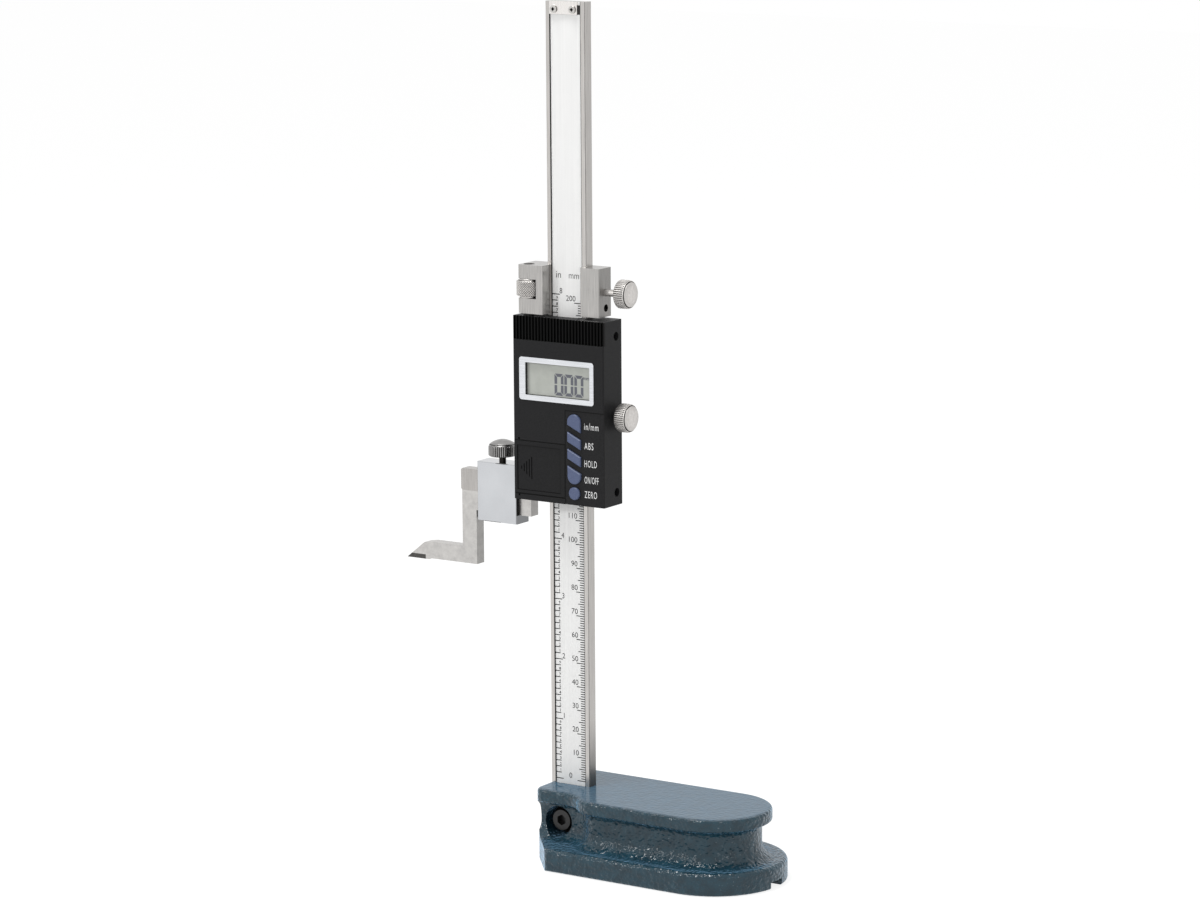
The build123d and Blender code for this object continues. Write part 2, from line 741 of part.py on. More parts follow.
def make_battery_cover():
    """Sliding cover on two rails, with a wall that closes the housing's left side."""
    skin_back = front + front_wall - loose_gap
    cover = block(cover_left_x, cover_right_x, front, skin_back, cover_z0, cover_z1)
    rail_front = front + cover_skin
    rail_back = rail_front + cover_tongue_thickness
    cover += block(
        cover_left_x, cover_right_x, rail_front, rail_back, cover_z0 - cover_tongue, cover_z1 + cover_tongue
    )
    side_back = front + cover_return
    cover += block(cover_left_x, -inner_half - loose_gap, front, side_back, cover_z0, cover_z1)
    cover = fillet(cover.edges().filter_by(Axis.Z).group_by(Axis.Y)[0].sort_by(Axis.X)[0], housing_round)
    # lower field inside a raised border, with the bars of an arrow
    field_back = front + cover_field_depth
    x0 = cover_left_x + cover_border_left
    x1 = cover_right_x - cover_border_right
    z0 = cover_z0 + cover_border_bottom
    z1 = cover_z1 - cover_border_top
    cover -= block(x0, x1, front, field_back, z0, z1)
    middle = (z0 + z1) / 2
    for bar in range(arrow_bars):
        x = cover_left_x + arrow_inset + bar * arrow_pitch
        groove = Pos(x, middle) * Rectangle(arrow_groove, arrow_first + bar * arrow_step)
        cover -= prism(groove, field_back, field_back + arrow_depth)
    return cover


def make_bezel():
    """Silver frame around the display."""
    outer = RectangleRounded(bezel_width, bezel_height, bezel_round)
    shift = window_x - bezel_x
    inner = Pos(shift, 0) * RectangleRounded(window_width, window_height, window_round)
    y0 = front - bezel_proud
    return prism(Pos(bezel_x, unit_bottom + bezel_z) * (outer - inner), y0, y0 + bezel_thickness)


def make_lcd():
    """Display panel on the circuit board, a little below the bezel."""
    outline = RectangleRounded(window_width - 2 * loose_gap, window_height - 2 * loose_gap, window_round)
    y0 = front - bezel_proud + lcd_below_bezel
    return prism(Pos(window_x, unit_bottom + bezel_z) * outline, y0, board_front)


def make_board():
    """Circuit board on the frame's lips, cut away at the battery."""
    side = inner_half - board_margin
    low = inner_bottom + board_margin
    high = inner_top - rod_lug_height - board_margin
    board = block(-side, side, board_front, lip_front, low, high)
    cut_right = cover_right_x + board_margin / 2
    return board - block(-side, cut_right, board_front, lip_front, low, cover_z1 + board_margin)


def make_contact():
    """Contact plate under the battery, on the frame's lips."""
    x0 = -inner_half + board_margin
    x1 = cover_right_x - board_margin
    low = cover_z0 + board_margin
    high = cover_z1 - board_margin
    return block(x0, x1, lip_front - contact_thickness, lip_front, low, high)


def make_battery():
    """Button cell behind the cover."""
    x = -inner_half + loose_gap + battery_radius
    z = (cover_z0 + cover_z1) / 2
    cell = pin((x, lip_front - contact_thickness, z), (0, -1, 0), battery_radius, battery_thickness)
    return chamfer(cell.edges(), contact_thickness / 2)


# --- Lock screws ------------------------------------------------------------------------
def make_slider_lock():
    """Thumb screw that presses the gib on the beam."""
    tip_x = gib_outer + slide_gap
    return along_x(thumb_screw(lock_knob_x - tip_x), lock_knob_x, 0, lock_z)


def make_carriage_lock():
    """Thumb screw that clamps the carriage on the beam."""
    pad_outer = half_beam + slide_gap + carriage_pad_thickness
    tip_x = pad_outer + slide_gap
    z = carriage_bottom + carriage_screw_z
    return along_x(thumb_screw(lock_knob_x - tip_x), lock_knob_x, 0, z)


# --- Fine adjustment --------------------------------------------------------------------
def make_carriage():
    """Steel block around the beam, with the window for the adjusting nut."""
    guide = half_beam + slide_gap
    depth_guide = half_depth + slide_gap
    inner_edge = half_beam - carriage_lip
    z0 = carriage_bottom
    z1 = carriage_top
    left = block(-carriage_left, -inner_edge, -carriage_front_left, carriage_back, z0, z1)
    left = chamfer(left.edges().filter_by(Axis.Z), carriage_edge)
    right = block(inner_edge, carriage_right, -carriage_front_right, carriage_back, z0, z1)
    right = chamfer(right.edges().filter_by(Axis.Z), carriage_edge)
    bridge = block(-half_beam, half_beam, depth_guide, carriage_back, z0, z1)
    block_part = left + right + bridge - block(-guide, guide, -depth_guide, depth_guide, z0, z1)
    # window for the nut, open to the left and to the front
    window_z0 = nut_z0 - nut_end_gap
    window_z1 = nut_z0 + nut_total + nut_end_gap
    window_right = adjust_rod_x + nut_radius + nut_wall_gap
    window_back = adjust_rod_y + nut_radius + nut_wall_gap
    block_part -= block(
        -carriage_left, window_right, -carriage_front_left, window_back, window_z0, window_z1
    )
    drill = adjust_rod_radius + rod_hole_gap
    block_part -= pin((adjust_rod_x, adjust_rod_y, z0), (0, 0, 1), drill, carriage_height)
    # clamp screw, grub screw and the pocket of the pad that they press
    lock = (half_beam, 0, z0 + carriage_screw_z)
    block_part -= pin(lock, (1, 0, 0), thumb_shank_radius + turn_gap, carriage_right)
    grub = (half_beam, 0, z0 + carriage_grub_z)
    block_part -= pin(grub, (1, 0, 0), grub_radius + seat_gap, carriage_right)
    pad_x1 = guide + carriage_pad_thickness + seat_gap
    pad_half = gib_height / 2 + seat_gap
    pad_z0 = z0 + carriage_pad_inset - seat_gap
    pad_z1 = z1 - carriage_pad_inset + seat_gap
    block_part -= block(guide, pad_x1, -pad_half, pad_half, pad_z0, pad_z1)
    return block_part


def make_carriage_pad():
    """Brass leaf between the beam and the carriage's screws."""
    x0 = half_beam + slide_gap
    half = gib_height / 2
    z0 = carriage_bottom + carriage_pad_inset
    z1 = carriage_top - carriage_pad_inset
    return block(x0, x0 + carriage_pad_thickness, -half, half, z0, z1)


def make_carriage_grub():
    """Grub screw that sets the carriage's pad."""
    x0 = half_beam + slide_gap + carriage_pad_thickness
    z = carriage_bottom + carriage_grub_z
    screw = pin((x0, 0, z), (1, 0, 0), grub_radius, grub_length)
    face = Plane(origin=(x0 + grub_length, 0, z), z_dir=(-1, 0, 0))
    return screw - extrude(face * RegularPolygon(grub_radius / 2, 6, major_radius=False), grub_radius)


def make_adjust_rod():
    """Threaded rod that stands in the frame's lug and carries the nut."""
    bottom = inner_top - rod_lug_height + board_margin
    length = carriage_top - adjust_rod_below_top - bottom
    return pin((adjust_rod_x, adjust_rod_y, bottom), (0, 0, 1), adjust_rod_radius, length)


def make_adjust_nut():
    """Knurled nut that turns on the rod inside the carriage's window."""
    z = nut_z0
    start = (adjust_rod_x, adjust_rod_y, z)
    nut = pin(start, (0, 0, 1), nut_collar_radius, nut_total)
    grip = pin((adjust_rod_x, adjust_rod_y, z + nut_collar_length), (0, 0, 1), nut_radius, nut_length)
    nut += chamfer(grip.edges().filter_by(GeomType.CIRCLE), nut_collar_length / 2)
    return nut - pin(start, (0, 0, 1), adjust_rod_radius + turn_gap, nut_total)


# --- Scriber ----------------------------------------------------------------------------
shank_bottom = jaw_bottom - shank_height
foot_bottom = jaw_bottom - scriber_drop
foot_top = foot_bottom + foot_thickness
tip_z = foot_bottom - carbide_drop
carbide_right = tip_x + carbide_length
bevel_top_x = tip_x + tip_bevel_run
bevel_top_z = foot_top - tip_bevel_fall


def carbide_outline():
    """Side view of the carbide insert along the cutting edge."""
    slope = (bevel_top_z - tip_z) / tip_bevel_run
    top_x = tip_x + carbide_height / slope
    top = tip_z + carbide_height
    corners = [(tip_x, tip_z), (carbide_right, tip_z), (carbide_right, top), (top_x, top)]
    return make_face(Polyline(*corners, close=True))


def make_scriber():
    """Cranked scriber: shank under the jaw bar, arm and foot, with a seat for the insert."""
    corners = [
        (-half_unit + shank_tuck, jaw_bottom),
        (-half_unit + shank_tuck, shank_bottom),
        (arm_right_x, shank_bottom),
        (arm_right_x, foot_bottom),
        (carbide_right + carbide_step + carbide_drop, foot_bottom),
        (carbide_right + carbide_step - carbide_drop, tip_z),
        (tip_x, tip_z),
        (bevel_top_x, bevel_top_z),
        (bevel_top_x + tip_bevel_round, foot_top),
        (arm_left_x, foot_top),
        (arm_left_x, jaw_bottom),
    ]
    face = make_face(Polyline(*corners, close=True))
    return prism(face - carbide_outline(), jaw_front, jaw_back)


def make_carbide():
    """Carbide insert of the scriber."""
    return prism(carbide_outline(), jaw_front, jaw_back)


box_bottom = shank_bottom - clamp_box_bottom
box_top = jaw_bottom + jaw_height + clamp_box_headroom + clamp_box_top


def make_clamp_box():
    """Ring that holds the scriber's shank against the jaw bar."""
    x0 = clamp_box_left_x
    x1 = clamp_box_right_x
    y0 = -jaw_offset - clamp_box_depth / 2
    y1 = -jaw_offset + clamp_box_depth / 2
    box = block(x0, x1, y0, y1, box_bottom, box_top)
    box = chamfer(box.edges().filter_by(Axis.Z) + box.edges().filter_by(Axis.X), carriage_edge)
    ceiling = box_top - clamp_box_top
    box -= block(x0, x1, y0 + clamp_box_wall, y1 - clamp_box_wall, shank_bottom, ceiling)
    drill = thumb_shank_radius + turn_gap
    box -= pin((clamp_box_x, -jaw_offset, ceiling), (0, 0, 1), drill, clamp_box_top)
    return box


def make_clamp_screw():
    """Thumb screw of the clamp box; its end presses on the jaw bar."""
    tip = jaw_bottom + jaw_height + slide_gap
    knob_base = box_top + clamp_screw_exposed
    screw = thumb_screw(knob_base - tip, clamp_knob_dome)
    return Pos(clamp_box_x, -jaw_offset, knob_base) * screw


# --- Parts ------------------------------------------------------------------------------
parts = {
    "base_casting": make_base_casting(),
    "base_clamp_screw": make_base_clamp_screw(),
    "beam": make_beam(),
    "grid_strip": make_grid_strip(),
    "scale_strip": make_scale_strip(),
    "stop_plate": make_stop_plate(),
    "slider_frame": make_slider_frame(),
    "gib": make_gib(),
    "housing": make_housing(),
    "keypad_mat": make_keypad_mat(),
    "battery_cover": make_battery_cover(),
    "battery": make_battery(),
    "battery_contact": make_contact(),
    "display_bezel": make_bezel(),
    "display_panel": make_lcd(),
    "circuit_board": make_board(),
    "slider_lock_screw": make_slider_lock(),
    "carriage": make_carriage(),
    "carriage_pad": make_carriage_pad(),
    "carriage_grub_screw": make_carriage_grub(),
    "carriage_lock_screw": make_carriage_lock(),
    "adjust_rod": make_adjust_rod(),
    "adjust_nut": make_adjust_nut(),
    "scriber": make_scriber(),
    "scriber_tip": make_carbide(),
    "clamp_box": make_clamp_box(),
    "clamp_screw": make_clamp_screw(),
}
for side, place in zip(("left", "right"), stop_screw_places()):
    parts["stop_screw_" + side] = make_stop_screw(place)
for end, height in zip(("lower", "upper"), gib_screw_heights):
    parts["gib_screw_" + end] = make_gib_screw(height)
for number, (x, z) in enumerate(frame_screw_places(), 1):
    parts[f"frame_screw_{number}"] = make_frame_screw(x, z)
for name, outline in button_outlines():
    parts[name] = make_button(outline)

for name, shape in parts.items():
    export_step(shape, f"parts/{name}.step")
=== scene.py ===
import json
from math import pi, radians

import bpy
import numpy as np
from mathutils import Matrix, Vector


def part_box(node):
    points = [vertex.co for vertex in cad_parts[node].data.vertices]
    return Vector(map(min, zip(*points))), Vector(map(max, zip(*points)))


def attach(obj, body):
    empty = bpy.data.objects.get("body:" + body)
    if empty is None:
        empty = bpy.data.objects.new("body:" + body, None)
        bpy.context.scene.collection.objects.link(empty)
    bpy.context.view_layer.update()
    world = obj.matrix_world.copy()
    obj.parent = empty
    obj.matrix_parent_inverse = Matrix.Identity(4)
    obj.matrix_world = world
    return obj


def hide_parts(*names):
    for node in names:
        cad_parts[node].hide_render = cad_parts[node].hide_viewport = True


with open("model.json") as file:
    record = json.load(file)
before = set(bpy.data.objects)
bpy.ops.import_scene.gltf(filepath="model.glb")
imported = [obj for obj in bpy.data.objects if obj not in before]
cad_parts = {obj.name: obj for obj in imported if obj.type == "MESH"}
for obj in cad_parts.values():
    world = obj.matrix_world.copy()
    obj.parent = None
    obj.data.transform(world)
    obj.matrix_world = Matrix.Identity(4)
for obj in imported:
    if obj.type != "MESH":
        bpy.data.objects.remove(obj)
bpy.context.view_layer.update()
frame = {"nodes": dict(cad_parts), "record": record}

scene = bpy.context.scene
scene.view_settings.view_transform = "Standard"
nodes = frame["nodes"]
slot_of = {part["node"]: part["material_slot"] for part in frame["record"]["subparts"]}
MM = 0.001


def tone(red, green, blue):
    """Linear colour of a screen colour given in steps of 0 to 255."""
    share = np.array([red, green, blue], float) / 255
    return (*(float(c) for c in ((share + 0.055) / 1.055) ** 2.4), 1.0)


def dimmed(colour, share):
    """A colour at a share of its brightness."""
    return (*(share * c for c in colour[:3]), 1.0)


# --- Camera, lights and floor -----------------------------------------------------------
CAMERA_PLACE = (0.94788, -1.42143, 0.47735)
CAMERA_AZIMUTH = 33.306
CAMERA_ELEVATION = 10.18
CAMERA_ROLL = -0.368
CAMERA_LENS = 127.02
CAMERA_NEAREST = 0.05
SKY_LIGHT = 0.5
SKY_SEEN = 1.0
FLOOR_HALF = 4.0
FLOOR_DROP = 0.0003
FLOOR_SHADE = 0.8
FLOOR_SHADE_SEEN = 0.3
FLOOR_GLOW_SEEN = 0.84
# Each lamp: name, place, the point that it faces, width and power
LAMPS = (
    ("top", (-0.15, -0.35, 1.5), (0, 0, 0.1), 0.4, 9),
    ("key", (-0.7, -1.2, 0.9), (0, 0, 0.15), 0.28, 4.2),
    ("fill", (1.3, -0.7, 0.6), (0, 0, 0.15), 0.25, 1.5),
)


def make_camera():
    """Camera at the front right, a little above the display, with a long lens."""
    camera = bpy.data.objects.new("camera", bpy.data.cameras.new("camera"))
    scene.collection.objects.link(camera)
    camera.data.lens = CAMERA_LENS
    camera.data.clip_start = CAMERA_NEAREST
    turn = Matrix.Rotation(radians(CAMERA_AZIMUTH), 4, "Z")
    tilt = Matrix.Rotation(radians(90 - CAMERA_ELEVATION), 4, "X")
    roll = Matrix.Rotation(radians(CAMERA_ROLL), 4, "Z")
    camera.matrix_world = Matrix.Translation(CAMERA_PLACE) @ turn @ tilt @ roll
    scene.camera = camera


def soft_box(name, place, aim, width, power):
    """Square area lamp at a place, turned to face a point."""
    lamp = bpy.data.lights.new(name, "AREA")
    lamp.size = width
    lamp.energy = power
    holder = bpy.data.objects.new(name, lamp)
    scene.collection.objects.link(holder)
    turn = (Vector(aim) - Vector(place)).to_track_quat("-Z", "Y").to_matrix().to_4x4()
    holder.matrix_world = Matrix.Translation(place) @ turn


def grey_shader(tree, kind, shade, strength=None):
    """The output of a new diffuse, background or glowing shader of an even grey."""
    node = tree.nodes.new(kind)
    node.inputs["Color"].default_value = (shade, shade, shade, 1)
    if strength is not None:
        node.inputs["Strength"].default_value = strength
    return node.outputs[0]


def by_ray(tree, lit, seen):
    """The shader seen for camera, glossy and transmission rays, and lit for all other light."""
    path = tree.nodes.new("ShaderNodeLightPath")
    camera, glossy, through = (
        path.outputs[f"Is {kind} Ray"] for kind in ("Camera", "Glossy", "Transmission"))
    looked_at = reckoned(tree, "MAXIMUM", reckoned(tree, "MAXIMUM", camera, glossy), through)
    mix = tree.nodes.new("ShaderNodeMixShader")
    tree.links.new(looked_at, mix.inputs["Fac"])
    tree.links.new(lit, mix.inputs[1])
    tree.links.new(seen, mix.inputs[2])
    return mix.outputs["Shader"]


def make_world():
    """White surroundings for the camera and for reflections, softer as a light."""
    world = bpy.data.worlds.new("studio")
    world.use_nodes = True
    tree = world.node_tree
    tree.nodes.clear()
    output = tree.nodes.new("ShaderNodeOutputWorld")
    light = grey_shader(tree, "ShaderNodeBackground", 1, SKY_LIGHT)
    white = grey_shader(tree, "ShaderNodeBackground", 1, SKY_SEEN)
    tree.links.new(by_ray(tree, light, white), output.inputs["Surface"])
    scene.world = world


def make_floor():
    """White floor that keeps the object's shadow; it glows only where it is looked at."""
    corners = np.array([[-1, -1, 0], [1, -1, 0], [1, 1, 0], [-1, 1, 0]]) * FLOOR_HALF
    mesh = mesh_of("floor", corners - [0, 0, FLOOR_DROP], np.array([[0, 1, 2, 3]]))
    floor = bpy.data.objects.new("floor", mesh)
    scene.collection.objects.link(floor)
    material, tree, surface = bare_material("floor_white")
    lit = grey_shader(tree, "ShaderNodeBsdfDiffuse", FLOOR_SHADE)
    shaded = grey_shader(tree, "ShaderNodeBsdfDiffuse", FLOOR_SHADE_SEEN)
    glow = grey_shader(tree, "ShaderNodeEmission", 1, FLOOR_GLOW_SEEN)
    both = tree.nodes.new("ShaderNodeAddShader")
    tree.links.new(shaded, both.inputs[0])
    tree.links.new(glow, both.inputs[1])
    tree.links.new(by_ray(tree, lit, both.outputs["Shader"]), surface)
    mesh.materials.append(material)


# --- Parts of a finish ------------------------------------------------------------------
UNIT = (0.0, 1.0)


def bare_material(name):
    """A material that has only its output; returns it, its tree and the output's surface."""
    material = bpy.data.materials.new(name)
    material.use_nodes = True
    tree = material.node_tree
    tree.nodes.clear()
    return material, tree, tree.nodes.new("ShaderNodeOutputMaterial").inputs["Surface"]


def new_finish(name, values):
    """A material with a Principled shader that has the given values on its own sockets;
    returns the material, its tree and its shader."""
    material, tree, surface = bare_material(name)
    shader = tree.nodes.new("ShaderNodeBsdfPrincipled")
    for socket, value in values.items():
        shader.inputs[socket].default_value = value
    tree.links.new(shader.outputs["BSDF"], surface)
    return material, tree, shader


def even(scale):
    """The same stretch along each axis."""
    return (scale, scale, scale)


def grain(tree, stretch, scale=1.0, detail=2.0, roughness=0.5):
    """Noise on object coordinates that are stretched along each axis. The larger the stretch,
    the finer the grain along that axis."""
    where = tree.nodes.new("ShaderNodeTexCoord")
    mapping = tree.nodes.new("ShaderNodeMapping")
    mapping.inputs["Scale"].default_value = stretch
    tree.links.new(where.outputs["Object"], mapping.inputs["Vector"])
    noise = tree.nodes.new("ShaderNodeTexNoise")
    noise.inputs["Scale"].default_value = scale
    noise.inputs["Detail"].default_value = detail
    noise.inputs["Roughness"].default_value = roughness
    tree.links.new(mapping.outputs["Vector"], noise.inputs["Vector"])
    return noise.outputs["Fac"]


def shades(tree, value, low, high, margin=0.3):
    """Colour from low to high as the value goes from the margin to 1 less the margin."""
    ramp = tree.nodes.new("ShaderNodeValToRGB")
    first, last = ramp.color_ramp.elements
    first.position, last.position = margin, 1 - margin
    first.color, last.color = low, high
    tree.links.new(value, ramp.inputs["Fac"])
    return ramp.outputs["Color"]


def spread(tree, value, source=UNIT, onto=UNIT):
    """A value within the source range brought onto another range."""
    fit = tree.nodes.new("ShaderNodeMapRange")
    for socket, number in zip(("From Min", "From Max", "To Min", "To Max"), (*source, *onto)):
        fit.inputs[socket].default_value = number
    tree.links.new(value, fit.inputs["Value"])
    return fit.outputs["Result"]


def reckoned(tree, operation, one, other=0.0):
    """Arithmetic on two values; each is a socket or a number."""
    step = tree.nodes.new("ShaderNodeMath")
    step.operation = operation
    for socket, value in zip(step.inputs, (one, other)):
        if isinstance(value, float):
            socket.default_value = value
        else:
            tree.links.new(value, socket)
    return step.outputs["Value"]


def blended(tree, share, below, above):
    """Two colours mixed by a share; above shows where the share is 1."""
    mix = tree.nodes.new("ShaderNodeMix")
    mix.data_type = "RGBA"
    tree.links.new(share, mix.inputs["Factor"])
    for socket, colour in ((mix.inputs[6], below), (mix.inputs[7], above)):
        if isinstance(colour, tuple):
            socket.default_value = colour
        else:
            tree.links.new(colour, socket)
    return mix.outputs[2]


def relief(tree, shader, height, distance, strength, socket="Normal"):
    """Bump from a height, joined to one of the shader's normals; the distance is in
    millimetres."""
    bump = tree.nodes.new("ShaderNodeBump")
    bump.inputs["Strength"].default_value = strength
    bump.inputs["Distance"].default_value = distance * MM
    tree.links.new(height, bump.inputs["Height"])
    tree.links.new(bump.outputs["Normal"], shader.inputs[socket])


def coordinates(tree, kind="Object"):
    """The x, y and z of a point, or with Normal of the way that its face looks."""
    where = tree.nodes.new("ShaderNodeTexCoord")
    split = tree.nodes.new("ShaderNodeSeparateXYZ")
    tree.links.new(where.outputs[kind], split.inputs["Vector"])
    return [split.outputs[axis] for axis in "XYZ"]


def from_axis(tree, x, z):
    """Distance of a point from the line along y through x and z, in metres."""
    at_x, _, at_z = coordinates(tree)
    across = reckoned(tree, "SUBTRACT", at_x, x)
    up = reckoned(tree, "SUBTRACT", at_z, z)
    squares = [reckoned(tree, "MULTIPLY", offset, offset) for offset in (across, up)]
    return reckoned(tree, "SQRT", reckoned(tree, "ADD", *squares))


def within(tree, low, high):
    """1 inside a box given by its low and high corner in millimetres, else 0."""
    share = None
    for coordinate, start, end in zip(coordinates(tree), low, high):
        offset = reckoned(tree, "SUBTRACT", coordinate, (start + end) / 2 * MM)
        distance = reckoned(tree, "ABSOLUTE", offset)
        near = reckoned(tree, "LESS_THAN", distance, (end - start) / 2 * MM)
        share = near if share is None else reckoned(tree, "MULTIPLY", share, near)
    return share


def inside_any(tree, boxes):
    """1 inside any of several boxes, else 0."""
    share = within(tree, *boxes[0])
    for box in boxes[1:]:
        share = reckoned(tree, "MAXIMUM", share, within(tree, *box))
    return share


def sideways(tree, right):
    """1 on faces that look along x, else 0, and only beyond x = right where that is given."""
    slant = reckoned(tree, "ABSOLUTE", coordinates(tree, "Normal")[0])
    share = spread(tree, slant, source=(0.3, 0.8))
    if right is not None:
        beyond = reckoned(tree, "GREATER_THAN", coordinates(tree)[0], right * MM)
        share = reckoned(tree, "MULTIPLY", share, beyond)
    return share


# --- Kinds of finish --------------------------------------------------------------------
PAINTED_SHADE_BLACK = tone(20, 20, 20)
DEEP_BLACK = tone(4, 4, 4)
GAP_SHADE_BLACK = tone(12, 12, 12)
BORE_BLACK = tone(8, 8, 8)
GROOVE_PAINTED_SHADE = tone(42, 40, 38)
FOOT_SHADE = tone(40, 44, 48)
FOOT_SHARE = 0.75
DISPLAY_SHADE = tone(84, 86, 82)
DISPLAY_SHARE = 0.85
DISPLAY_SHADE_ENDS = (-15.9 * MM, -13.9 * MM)
PAINT_TOP = (24 * MM, 28 * MM)
CLAMP_BORE_HEIGHT = 16.3 * MM
CLAMP_BORE_RIM = (6.4 * MM, 6.6 * MM)


def hammered_paint():
    """Glossy hammered enamel on iron: teal blue with soft dimples under a clear skin, smoother on
    top and bluer there as painted light, and black without the skin in the counterbore of the
    clamp screw."""
    material, tree, shader = new_finish("hammered_paint", {
        "Roughness": 0.5, "Specular IOR Level": 0.1, "Coat Roughness": 0.03,
        "Sheen Weight": 0.9, "Sheen Roughness": 0.3, "Sheen Tint": (0.4, 0.7, 1.0, 1.0)})
    blotches = grain(tree, even(1), 240, 3)
    flat = spread(tree, coordinates(tree, "Normal")[2], source=(0.7, 0.95))
    raised = spread(tree, coordinates(tree)[2], source=PAINT_TOP)
    upwards = reckoned(tree, "MULTIPLY", flat, raised)
    walls = shades(tree, blotches, tone(8, 45, 58), tone(18, 60, 75), 0.35)
    # Painted light: the top is painted bluer than the walls for the light that it reflects
    top = shades(tree, blotches, tone(8, 52, 70), tone(16, 64, 86), 0.35)
    from_bore = from_axis(tree, 0.0, CLAMP_BORE_HEIGHT)
    bore = spread(tree, from_bore, source=CLAMP_BORE_RIM, onto=(1.0, 0.0))
    colour = blended(tree, bore, blended(tree, upwards, walls, top), BORE_BLACK)
    tree.links.new(colour, shader.inputs["Base Color"])
    skin = spread(tree, upwards, onto=(0.8, 0.7))
    skin = reckoned(tree, "MULTIPLY", skin, spread(tree, bore, onto=(1.0, 0.0)))
    tree.links.new(skin, shader.inputs["Coat Weight"])
    dimples = grain(tree, (1, 1, 1.2), 620, 1.2, 0.45)
    for socket, share_on_top in (("Normal", 0.42), ("Coat Normal", 0.1)):
        evenness = spread(tree, upwards, onto=(1.0, share_on_top))
        relief(tree, shader, reckoned(tree, "MULTIPLY", dimples, evenness), 0.9, 0.8, socket)
    return material


def steel(name, low, high, stretch, rough=(0.22, 0.34), depth=0.02, sides=1.0, right=None,
          foot=None, dark=None, knurled=False):
    """Ground or brushed steel between two screen colours, with streaks along the axis of the
    smallest stretch. Faces that look along x, or only those beyond x = right, have the share
    sides of the brightness as painted shade, or as a painted highlight where sides is above 1;
    foot gives two heights between which such faces get a darker painted shade. Dark lists boxes
    of painted black shade, and knurled pieces take painted shade from their groove values."""
    material, tree, shader = new_finish(name, {"Metallic": 1.0})
    low, high = tone(*low), tone(*high)
    streaks = grain(tree, stretch, 1.0, 3, 0.6)
    colour = shades(tree, streaks, low, high)
    # Painted shade on faces along x, or a painted highlight where sides is above 1
    if sides != 1.0:
        side = sideways(tree, right)
        painted_side_shading = shades(tree, streaks, dimmed(low, sides), dimmed(high, sides))
        colour = blended(tree, side, colour, painted_side_shading)
        # Painted shade on those faces low down, towards the base
        if foot is not None:
            ends = tuple(height * MM for height in foot)
            lower = spread(tree, coordinates(tree)[2], source=ends, onto=(FOOT_SHARE, 0.0))
            colour = blended(tree, reckoned(tree, "MULTIPLY", side, lower), colour, FOOT_SHADE)
    # Painted shade: nearly black in the gaps, recesses and hollows that the boxes cover
    if dark is not None:
        colour = blended(tree, inside_any(tree, dark), colour, PAINTED_SHADE_BLACK)
    # Painted shade from the groove values: in the knurls' grooves, the knob's ring groove, over
    # the dome and on the clamp screw's shank
    if knurled:
        groove = tree.nodes.new("ShaderNodeAttribute")
        groove.attribute_name = "groove"
        painted_shade = spread(tree, groove.outputs["Fac"], source=(0.15, 0.85))
        colour = blended(tree, painted_shade, colour, GROOVE_PAINTED_SHADE)
    tree.links.new(colour, shader.inputs["Base Color"])
    tree.links.new(spread(tree, streaks, onto=rough), shader.inputs["Roughness"])
    relief(tree, shader, streaks, depth, 0.5)
    return material


def moulded(name, low, high, scale, rough, depth, gloss=0.5, dark=None):
    """Moulded plastic between two screen colours, with a fine texture; dark lists boxes in
    which it is nearly black."""
    values = {"Roughness": rough, "Specular IOR Level": gloss}
    material, tree, shader = new_finish(name, values)
    pits = grain(tree, even(1), scale, 3, 0.6)
    colour = shades(tree, pits, tone(*low), tone(*high), 0.35)
    if dark is not None:
        colour = blended(tree, inside_any(tree, dark), colour, DEEP_BLACK)
    tree.links.new(colour, shader.inputs["Base Color"])
    relief(tree, shader, pits, depth, 0.6)
    return material


def strip_metal():
    """Satin white strip with a hardly visible length grain, black with painted shade in the gap
    beside the plate.
    """
    material, tree, shader = new_finish("scale_strip_satin", {"Roughness": 0.4})
    lines = grain(tree, (900, 900, 18))
    satin = shades(tree, lines, tone(246, 246, 245), tone(252, 252, 251))
    colour = blended(tree, within(tree, *PLATE_GAP), satin, GAP_SHADE_BLACK)
    tree.links.new(colour, shader.inputs["Base Color"])
    relief(tree, shader, lines, 0.01, 0.3)
    return material


def display_sheet():
    """Grey-green display, darker along its left end where the frame shades it."""
    material, tree, shader = new_finish("display_panel", {"Roughness": 0.3})
    cloud = grain(tree, even(1), 300)
    sheet = shades(tree, cloud, tone(178, 181, 174), tone(186, 189, 182))
    at_x = coordinates(tree)[0]
    left = spread(tree, at_x, source=DISPLAY_SHADE_ENDS, onto=(DISPLAY_SHARE, 0.0))
    tree.links.new(blended(tree, left, sheet, DISPLAY_SHADE), shader.inputs["Base Color"])
    relief(tree, shader, cloud, 0.005, 0.6)
    return material


def printed(name, colour):
    """Printing ink with a slight unevenness."""
    values = {"Roughness": 0.6, "Specular IOR Level": 0.2}
    material, tree, shader = new_finish(name, values)
    cloud = grain(tree, even(1), 2500)
    colour = shades(tree, cloud, dimmed(colour, 0.85), colour)
    tree.links.new(colour, shader.inputs["Base Color"])
    return material


# --- Dark places, as boxes of low and high corner in millimetres: mostly painted shade ---
ABOVE_BEAM = 356.0
# Painted shade on the beam: in its recess beside the strip and along its front edges
RECESS = ((-7.6, -2.6, 26.0), (7.5, -1.2, ABOVE_BEAM))
BEAM_EDGES = (
    ((9.32, -2.7, 3.0), (9.7, -2.28, ABOVE_BEAM)),
    ((-9.7, -2.7, 3.0), (-9.4, -2.4, ABOVE_BEAM)),
)
# Painted shade inside the clamp box, and a painted dark reflection of the housing on its right
# end
BOX_INSIDE = ((-46.0, -3.45, 141.4), (-20.0, 1.85, 159.9))
BOX_RIM = ((-24.6, -5.2, 141.4), (-23.0, 1.85, 162.0))
